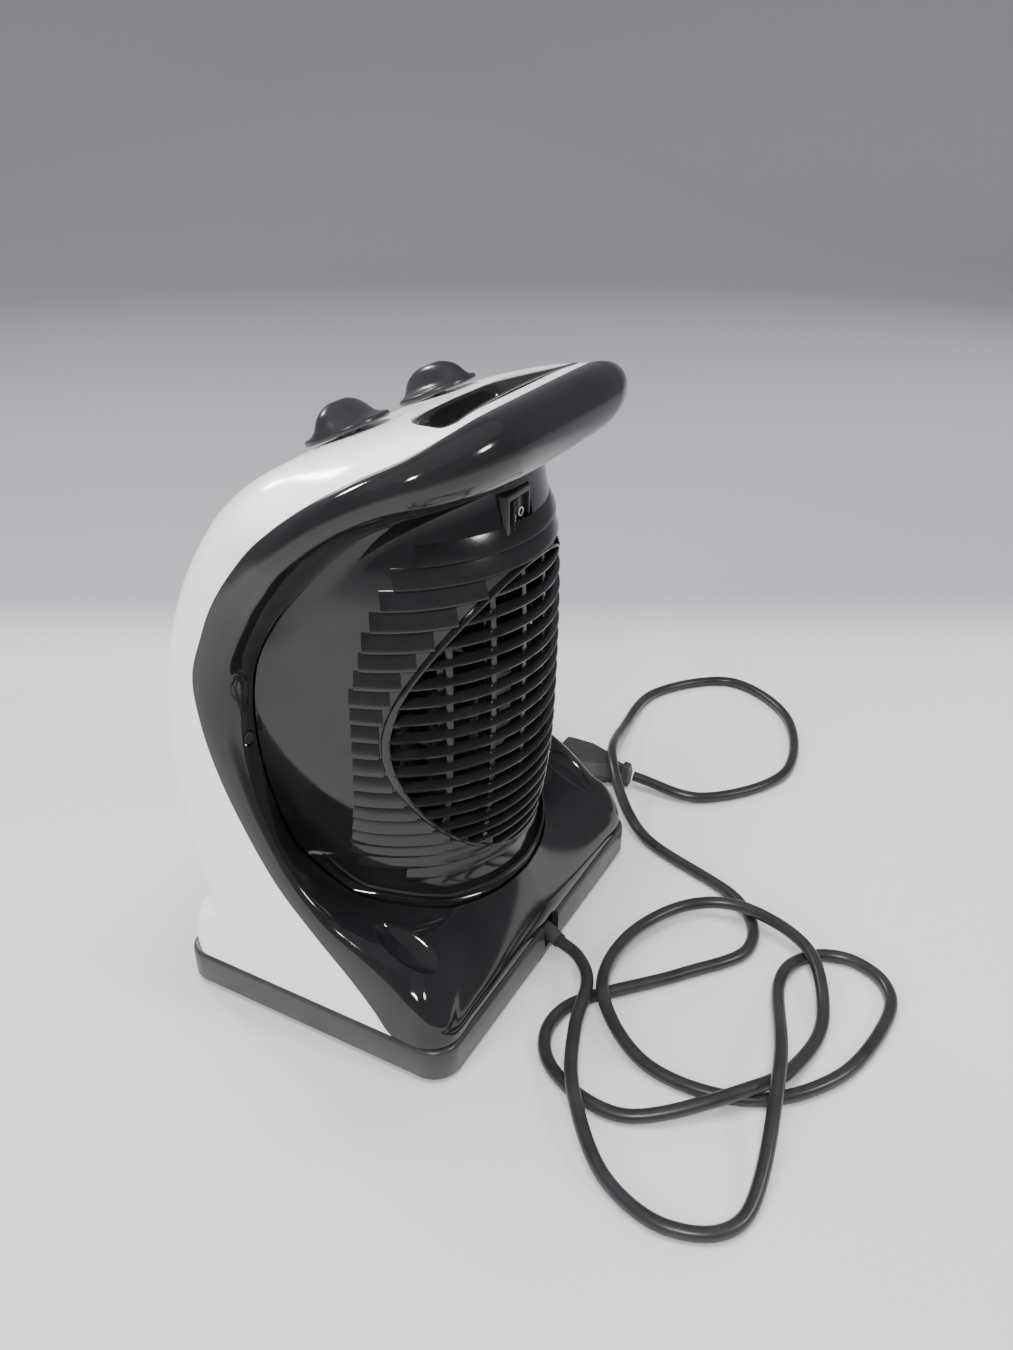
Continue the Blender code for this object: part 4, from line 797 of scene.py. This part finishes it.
# Edges of the clapboard louvres, and how far round the barrel from the middle each runs
LOUVRE_EDGES = [(66.0, 64.0), (73.4, 87.0), (80.8, 91.0), (87.5, 91.0), (95.0, 91.0), (103.0, 91.0), (110.5, 91.0),
                (118.7, 91.0), (127.0, 91.0), (135.7, 91.0), (144.0, 91.0), (152.5, 91.0), (160.6, 91.0),
                (169.0, 88.5), (177.7, 86.0), (186.0, 84.0), (195.0, 80.0), (204.0, 75.0), (212.6, 69.0),
                (221.5, 58.0)]


def barrel_point(arc, z, out):
    """A point out from the barrel's surface, at an arc length round it from the middle of the back."""
    radius = smooth_radius(z)
    angle = math.pi / 2 - arc / radius
    return Vector(((radius + out) * math.cos(angle), BARREL_CENTRE_Y + (radius + out) * math.sin(angle), z))


def intake_arc(z):
    """How far round the barrel the open intake reaches at a height."""
    share = (z - INTAKE_Z) / INTAKE_HALF[1]
    if abs(share) >= 1:
        return 0.0
    half = INTAKE_HALF[0] * math.sqrt(1 - share**2)
    radius = smooth_radius(z)
    return radius * math.asin(min(0.98, half / radius))


def sweep_board(bm, profile, start, stop, base_z):
    """A board round the barrel between two arc lengths: profile is (out, up) points."""
    count = max(3, int(abs(stop - start) / 2.5))
    rings = []
    for k in range(count + 1):
        arc = start + (stop - start) * k / count
        rings.append([bm.verts.new(barrel_point(arc, base_z + up, out) * MM) for out, up in profile])
    for near, far in zip(rings, rings[1:]):
        for i in range(len(profile)):
            j = (i + 1) % len(profile)
            bm.faces.new((near[i], near[j], far[j], far[i]))
    bm.faces.new(rings[0])
    bm.faces.new(rings[-1])


def make_louvres():
    bm = bmesh.new()
    for (z, half), (above, _) in zip(LOUVRE_EDGES, LOUVRE_EDGES[1:] + [(230.0, 0.0)]):
        pitch = above - z
        board = [(-0.8, 0.2), (0.6, 0.0), (1.5, 0.1), (2.0, 0.6), (2.05, 1.3), (1.7, 2.6), (0.35, pitch - 0.5),
                 (0.0, pitch + 0.1), (-0.8, pitch + 0.1)]
        slat = [(-3.4, 0.9), (-1.0, 0.4), (1.1, 0.0), (1.8, 0.3), (2.0, 0.9), (1.7, 1.5), (0.9, 1.9), (-1.0, 2.3),
                (-3.4, 2.6)]
        inner = intake_arc(z + 1.5)
        if inner < 8.0:
            sweep_board(bm, board, -half, half, z)
            continue
        for side in (-1, 1):
            sweep_board(bm, board, side * (inner + 3.2), side * half, z)
        sweep_board(bm, slat, -inner - 0.6, inner + 0.6, z)
    piece = add_piece("cover_louvres", finish_mesh(bm, "cover_louvres"), LOUVRE)
    return piece


def make_intake_rim():
    """The raised line round the intake."""
    bm = bmesh.new()
    profile = [(-1.0, -0.9), (1.5, -0.8), (2.1, -0.4), (2.2, 0.2), (1.8, 0.7), (0.3, 1.0), (-1.0, 1.1)]
    rings = []
    count = 220
    for k in range(count):
        turn = math.tau * k / count
        x, z = INTAKE_HALF[0] * math.cos(turn), INTAKE_Z + INTAKE_HALF[1] * math.sin(turn)
        radial = Vector((math.cos(turn) / INTAKE_HALF[0], 0.0, math.sin(turn) / INTAKE_HALF[1])).normalized()
        ring = []
        for out, away in profile:
            px, pz = x + radial.x * away, z + radial.z * away
            radius = smooth_radius(pz)
            angle = math.acos(max(-0.97, min(0.97, px / radius)))
            ring.append(bm.verts.new(Vector(((radius + out) * math.cos(angle),
                                             BARREL_CENTRE_Y + (radius + out) * math.sin(angle), pz)) * MM))
        rings.append(ring)
    for k in range(count):
        near, far = rings[k], rings[(k + 1) % count]
        for i in range(len(profile)):
            j = (i + 1) % len(profile)
            bm.faces.new((near[i], near[j], far[j], far[i]))
    return add_piece("intake_rim", finish_mesh(bm, "intake_rim"), BLACK)


def make_intake_bars():
    """The upright bars close behind the slats."""
    bm = bmesh.new()
    for x in RIB_PLACES:
        reach = INTAKE_HALF[1] * math.sqrt(1 - (x / INTAKE_HALF[0]) ** 2) + 1.0
        rings = []
        for k in range(25):
            z = INTAKE_Z + reach * (k / 12 - 1)
            radius = smooth_radius(z)
            ring = []
            for across, out in ((-1.3, -3.9), (1.3, -3.9), (1.3, -1.4), (0.9, -1.0), (-0.9, -1.0), (-1.3, -1.4)):
                angle = math.acos((x + across) / radius)
                ring.append(bm.verts.new(Vector(((radius + out) * math.cos(angle),
                                                 BARREL_CENTRE_Y + (radius + out) * math.sin(angle), z)) * MM))
            rings.append(ring)
        for near, far in zip(rings, rings[1:]):
            for i in range(6):
                j = (i + 1) % 6
                bm.faces.new((near[i], near[j], far[j], far[i]))
        bm.faces.new(rings[0])
        bm.faces.new(rings[-1])
    return add_piece("intake_bars", finish_mesh(bm, "intake_bars"), LOUVRE)


def make_cover():
    mesh = grid_mesh("cover_skin", cover_rows(), wall=COVER_WALL, inward=False)
    ring = []
    for k in range(160):
        turn = math.tau * k / 160
        ring.append((INTAKE_HALF[0] * math.cos(turn), INTAKE_Z + INTAKE_HALF[1] * math.sin(turn)))
    opening = loft_mesh("opening", [[(x, y, z) for x, z in ring] for y in (10.0, 95.0)])
    rocker = box_mesh("rocker_hole", [((ROCKER_X - 10.0, 40.0, ROCKER_Z - 11.4), (ROCKER_X + 10.0, 80.0, ROCKER_Z + 11.4))])
    mesh = cut(mesh, [opening, rocker])
    return add_piece("cover_skin", mesh, BLACK, nodes=["rear_cover"])


def make_groove_floor():
    """The dark channel floor under the gap between the frame and the cover."""
    path = [Vector(g) for g, _ in RIM_GROOVE + GROOVE] + [Vector((0.0, *HANDLE_GROOVE))]
    fine = centripetal(path, 8)
    bm = bmesh.new()
    rows = []
    for k, point in enumerate(fine):
        along = (fine[min(k + 1, len(fine) - 1)] - fine[max(k - 1, 0)]).normalized()
        inner = (Vector((0.0, BARREL_CENTRE_Y - 60.0, 140.0)) - point).normalized()
        inner = (inner - along * inner.dot(along)).normalized()
        across = along.cross(inner)
        rows.append([point + inner * depth + across * side for depth, side in
                     ((4.0, -5.0), (4.0, 5.0), (5.2, 5.0), (5.2, -5.0))])
    for side in (1, -1):
        rings = [[bm.verts.new(Vector((side * p.x, p.y, p.z)) * MM) for p in row] for row in rows]
        for near, far in zip(rings, rings[1:]):
            for i in range(4):
                j = (i + 1) % 4
                bm.faces.new((near[i], near[j], far[j], far[i]))
        bm.faces.new(rings[0])
        bm.faces.new(rings[-1])
    return add_piece("groove_floor", finish_mesh(bm, "groove_floor"), LOUVRE)


# --- base ---------------------------------------------------------------------------------------------------


def make_base():
    half_x, half_y = TRAY_WIDTH / 2, TRAY_DEPTH / 2
    profile = [(2.0, TRAY_BOTTOM), (0.6, TRAY_BOTTOM + 0.3), (0.0, TRAY_BOTTOM + 1.4), (0.0, TRAY_TOP - 2.6),
               (0.25, TRAY_TOP - 1.2), (0.9, TRAY_TOP - 0.35), (1.6, TRAY_TOP), (3.6, TRAY_TOP),
               (3.6, TRAY_BOTTOM + 2.4)]
    rings = [rounded_rectangle(half_x - inset, half_y - inset, TRAY_CORNER - inset, z) for inset, z in profile]
    mesh = loft_mesh("tray", rings)
    notch = box_mesh("notch", [((-9.6, 60.0, 5.6), (5.0, 90.0, 40.0))])
    holes = [((x, -30.0, -5.0), (x, -30.0, 10.0)) for x in (84.0, -84.0)] + [((60.0, -28.0, -5.0), (60.0, -28.0, 10.0))]
    mesh = cut(mesh, [notch, rod_mesh("holes", holes, 4.4)])
    return add_piece("tray", mesh, SATIN, nodes=["base_tray"])


# --- knobs, pocket, rocker ----------------------------------------------------------------------------------


def make_knob(name, side, turn, body, node):
    table = centripetal(KNOB_RINGS + [(13.1, 3.0, 1.2)], 5)
    rings = []
    for height, half_length, half_width in table:
        ring = []
        for k in range(96):
            angle = math.tau * k / 96
            a, b = half_length * math.cos(angle), half_width * math.sin(angle)
            ring.append(knob_point(side, height, a * math.cos(turn) - b * math.sin(turn),
                                   a * math.sin(turn) + b * math.cos(turn)))
        rings.append(ring)
    mesh = loft_mesh(name, rings)
    return add_piece(name, mesh, KNOB, body=body, nodes=[node], sharp=50)


def make_pocket():
    top = KNOB_BASE[1] + 0.2
    rings = [pocket_ring(-0.2, POCKET_FLOOR, squeeze=0.5), pocket_ring(-0.2, top - 2.0, slanted=True),
             pocket_ring(-0.2, top - 0.1, slanted=True), pocket_ring(0.6, top + 0.35, slanted=True),
             pocket_ring(0.6, top + 0.8, slanted=True), pocket_ring(-0.2, top + 1.1, slanted=True),
             pocket_ring(-1.0, top + 0.7, slanted=True, ends=0.03, rear=0.3),
             pocket_ring(-1.4, top - 0.5, slanted=True, ends=0.13, rear=1.3),
             pocket_ring(-1.6, top - 1.7, slanted=True, ends=0.2, rear=2.2),
             pocket_ring(-2.0, top - 3.8, slanted=True, ends=0.23, rear=2.8),
             pocket_ring(-2.6, POCKET_FLOOR + 2.6, squeeze=0.5), pocket_ring(-4.6, POCKET_FLOOR + 1.9, squeeze=0.5)]
    return add_piece("pocket_liner", loft_mesh("pocket_liner", rings), BLACK, nodes=["grip_pocket"],
                     sharp=60)


def make_rocker():
    face = 60.4
    bm_mesh = box_mesh("rocker_bezel", [((ROCKER_X - 9.6, 36.0, ROCKER_Z - 11.0), (ROCKER_X + 9.6, face, ROCKER_Z + 11.0))], bevel=0.7)
    pocket = box_mesh("pocket", [((ROCKER_X - 7.9, 45.0, ROCKER_Z - 8.4), (ROCKER_X + 7.9, 80.0, ROCKER_Z + 8.4))])
    add_piece("rocker_bezel", cut(bm_mesh, [pocket]), SATIN, nodes=["rocker_housing"])
    outline = [(-6.3, 6.6), (-3.0, 5.6), (0.0, 5.0), (3.0, 5.6), (6.3, 6.6), (6.3, 1.0), (2.0, -2.4), (-2.0, -2.4),
               (-6.3, 1.0)]
    spin = Matrix.Translation((ROCKER_X, ROCKER_PIVOT_Y, 0.0)) @ Matrix.Rotation(-ROCKER_TILT, 4, "Z")
    rings = [[spin @ Vector((x, out, ROCKER_Z + up)) for x, out in outline] for up in (-7.9, 7.9)]
    add_piece("rocker_key", loft_mesh("rocker_key", rings), KNOB, body="rocker_button",
              nodes=["rocker"])
    bm = bmesh.new()
    bar = spin @ Matrix.Translation((3.9, 5.95, ROCKER_Z)) @ Matrix.Rotation(math.radians(16.9), 4, "Z")
    place = Matrix.Diagonal((MM, MM, MM, 1.0))
    bmesh.ops.create_cube(bm, size=1.0, matrix=place @ bar @ Matrix.Diagonal((0.7, 0.3, 3.0, 1.0)))
    ring_at = spin @ Matrix.Translation((-3.7, 5.92, ROCKER_Z)) @ Matrix.Rotation(math.radians(-16.9), 4, "Z")
    outer, inner, count = 2.0, 1.35, 40
    loops = []
    for radius, out in ((outer, -0.1), (outer, 0.16), (inner, 0.16), (inner, -0.1)):
        loops.append([bm.verts.new(place @ ring_at @ Vector((radius * math.cos(math.tau * k / count), out,
                                                             radius * math.sin(math.tau * k / count))))
                      for k in range(count)])
    for lower, upper in zip(loops, loops[1:] + loops[:1]):
        for i in range(count):
            j = (i + 1) % count
            bm.faces.new((lower[i], lower[j], upper[j], upper[i]))
    add_piece("rocker_marks", finish_mesh(bm, "rocker_marks"), PRINT, body="rocker_button")


# --- cord ---------------------------------------------------------------------------------------------------


def make_cord():
    points = smooth_line(CORD_ROUTE, 14)
    for point in points:
        point.z = max(point.z, CORD_DIAMETER / 2 + 0.1)
    curve = bpy.data.curves.new("mains_cord", "CURVE")
    curve.dimensions = "3D"
    curve.bevel_depth = CORD_DIAMETER / 2 * MM
    curve.bevel_resolution = 6
    curve.use_fill_caps = True
    line = curve.splines.new("POLY")
    line.points.add(len(points) - 1)
    for point, place in zip(line.points, points):
        point.co = (*(place * MM), 1.0)
    line.use_smooth = True
    curve.materials.append(PVC)
    cord = bpy.data.objects.new("mains_cord", curve)
    bpy.context.scene.collection.objects.link(cord)
    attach(cord, HOUSING)
    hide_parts("power_cord")
    length = sum((b - a).length for a, b in zip(points, points[1:])) * MM
    return cord, length


def make_plug():
    centre_x, centre_z = PLUG_AXIS
    rings = []
    for y, half_x, half_z in PLUG_RINGS:
        flat = max(half_x - half_z * 0.75, half_x * 0.45)
        outline = ((half_x, 0.0), (flat, half_z), (-flat, half_z), (-half_x, 0.0), (-flat, -half_z), (flat, -half_z))
        rings.append([(centre_x + across, y, centre_z + up) for across, up in outline])
    mesh = loft_mesh("plug_moulding", rings)
    plug = add_piece("plug_moulding", mesh, PLUG, nodes=["plug_body"])
    edge = plug.modifiers.new("edge", "BEVEL")
    edge.width = 0.0007
    edge.segments = 3
    edge.limit_method = "ANGLE"
    edge.angle_limit = math.radians(18)
    return plug


cord, cord_length = make_cord()
plug = make_plug()
print("cord length", round(cord_length, 4))

make_white_shell()
make_front()
make_rear_frame()
make_cover()
make_louvres()
make_intake_rim()
make_intake_bars()
make_groove_floor()
make_base()
make_knob("thermostat_grip", 1, math.radians(8.0), "thermostat_knob", "knob_thermostat")
make_knob("function_grip", -1, math.radians(80.0), "function_knob", "knob_function")
make_pocket()
make_rocker()

# --- stage --------------------------------------------------------------------------------------------------


def make_stage():
    sweep = [(0.25, 0.0), (0.8, 0.0), (1.9, 0.0)]
    sweep += [(1.9 + 0.7 * math.sin(math.radians(a)), 0.7 - 0.7 * math.cos(math.radians(a))) for a in range(10, 91, 10)]
    sweep += [(2.6, 1.6), (2.6, 3.0)]
    count = 96
    points = [(0.0, 0.0, 0.0)]
    for radius, height in sweep:
        points += [(radius * math.cos(math.tau * k / count), radius * math.sin(math.tau * k / count), height)
                   for k in range(count)]
    faces = [(0, 1 + k, 1 + (k + 1) % count) for k in range(count)]
    for row in range(len(sweep) - 1):
        base = 1 + row * count
        faces += [(base + k, base + count + k, base + count + (k + 1) % count, base + (k + 1) % count)
                  for k in range(count)]
    mesh = bpy.data.meshes.new("floor")
    mesh.from_pydata(points, [], faces)
    mesh.polygons.foreach_set("use_smooth", [True] * len(faces))
    floor = bpy.data.objects.new("floor", mesh)
    bpy.context.scene.collection.objects.link(floor)
    material = bpy.data.materials.new("floor_paper")
    material.use_nodes = True
    nodes, links = material.node_tree.nodes, material.node_tree.links
    shader = nodes["Principled BSDF"]
    shader.inputs["Roughness"].default_value = 0.85
    place = nodes.new("ShaderNodeTexCoord")
    drift = nodes.new("ShaderNodeTexNoise")
    drift.inputs["Scale"].default_value = 2.4
    drift.inputs["Detail"].default_value = 5.0
    ramp = nodes.new("ShaderNodeValToRGB")
    ramp.color_ramp.elements[0].color = (0.54, 0.525, 0.525, 1.0)
    ramp.color_ramp.elements[1].color = (0.62, 0.60, 0.605, 1.0)
    far = nodes.new("ShaderNodeVectorMath")
    far.operation = "DOT_PRODUCT"
    far.inputs[1].default_value = (-0.877, -0.481, 0.0)
    edge = nodes.new("ShaderNodeMapRange")
    edge.interpolation_type = "SMOOTHSTEP"
    edge.inputs["From Min"].default_value = 0.27
    edge.inputs["From Max"].default_value = 0.40
    away = nodes.new("ShaderNodeVectorMath")
    away.operation = "LENGTH"
    ring = nodes.new("ShaderNodeMapRange")
    ring.interpolation_type = "SMOOTHSTEP"
    ring.inputs["From Min"].default_value = 0.55
    ring.inputs["From Max"].default_value = 1.0
    either = nodes.new("ShaderNodeMath")
    either.operation = "MAXIMUM"
    mix = nodes.new("ShaderNodeMix")
    mix.data_type = "RGBA"
    mix.inputs["B"].default_value = (0.29, 0.285, 0.31, 1.0)
    links.new(place.outputs["Object"], drift.inputs["Vector"])
    links.new(drift.outputs["Fac"], ramp.inputs["Fac"])
    links.new(place.outputs["Object"], far.inputs[0])
    links.new(far.outputs["Value"], edge.inputs["Value"])
    links.new(place.outputs["Object"], away.inputs[0])
    links.new(away.outputs["Value"], ring.inputs["Value"])
    links.new(edge.outputs["Result"], either.inputs[0])
    links.new(ring.outputs["Result"], either.inputs[1])
    links.new(either.outputs["Value"], mix.inputs["Factor"])
    links.new(ramp.outputs["Color"], mix.inputs["A"])
    links.new(mix.outputs["Result"], shader.inputs["Base Color"])
    mesh.materials.append(material)


def area_light(name, place, target, size, power, colour=(1.0, 1.0, 1.0), mirrored=True):
    data = bpy.data.lights.new(name, "AREA")
    data.shape = "RECTANGLE"
    data.size, data.size_y = size
    data.energy = power
    data.color = colour
    light = bpy.data.objects.new(name, data)
    light.location = place
    light.visible_glossy = mirrored
    light.rotation_euler = (Vector(target) - Vector(place)).to_track_quat("-Z", "Y").to_euler()
    bpy.context.scene.collection.objects.link(light)


def make_light():
    world = bpy.data.worlds.new("studio")
    world.use_nodes = True
    backdrop = world.node_tree.nodes["Background"]
    backdrop.inputs["Color"].default_value = (0.62, 0.62, 0.66, 1.0)
    backdrop.inputs["Strength"].default_value = 0.5
    bpy.context.scene.world = world
    area_light("overhead", (0.1, 0.0, 1.7), (0.0, 0.0, 0.1), (1.1, 1.1), 42.0, mirrored=False)
    area_light("key", KEY_PLACE, (0.0, 0.0, 0.12), (0.2, 0.2), 20.0, (1.0, 0.99, 0.97))
    area_light("fill", (-0.2, 1.4, 1.1), (0.0, 0.0, 0.1), (0.2, 0.2), 9.0, (0.97, 0.98, 1.0))
    area_light("side", (1.6, -0.4, 0.9), (0.0, 0.0, 0.12), (0.8, 0.8), 26.0, mirrored=False)
    area_light("front", (-0.5, -1.5, 1.2), (0.0, 0.0, 0.12), (0.2, 0.2), 12.0)
    area_light("left", (-1.5, 0.3, 1.0), (0.0, 0.0, 0.12), (0.7, 0.7), 12.0, mirrored=False)


make_stage()
make_light()
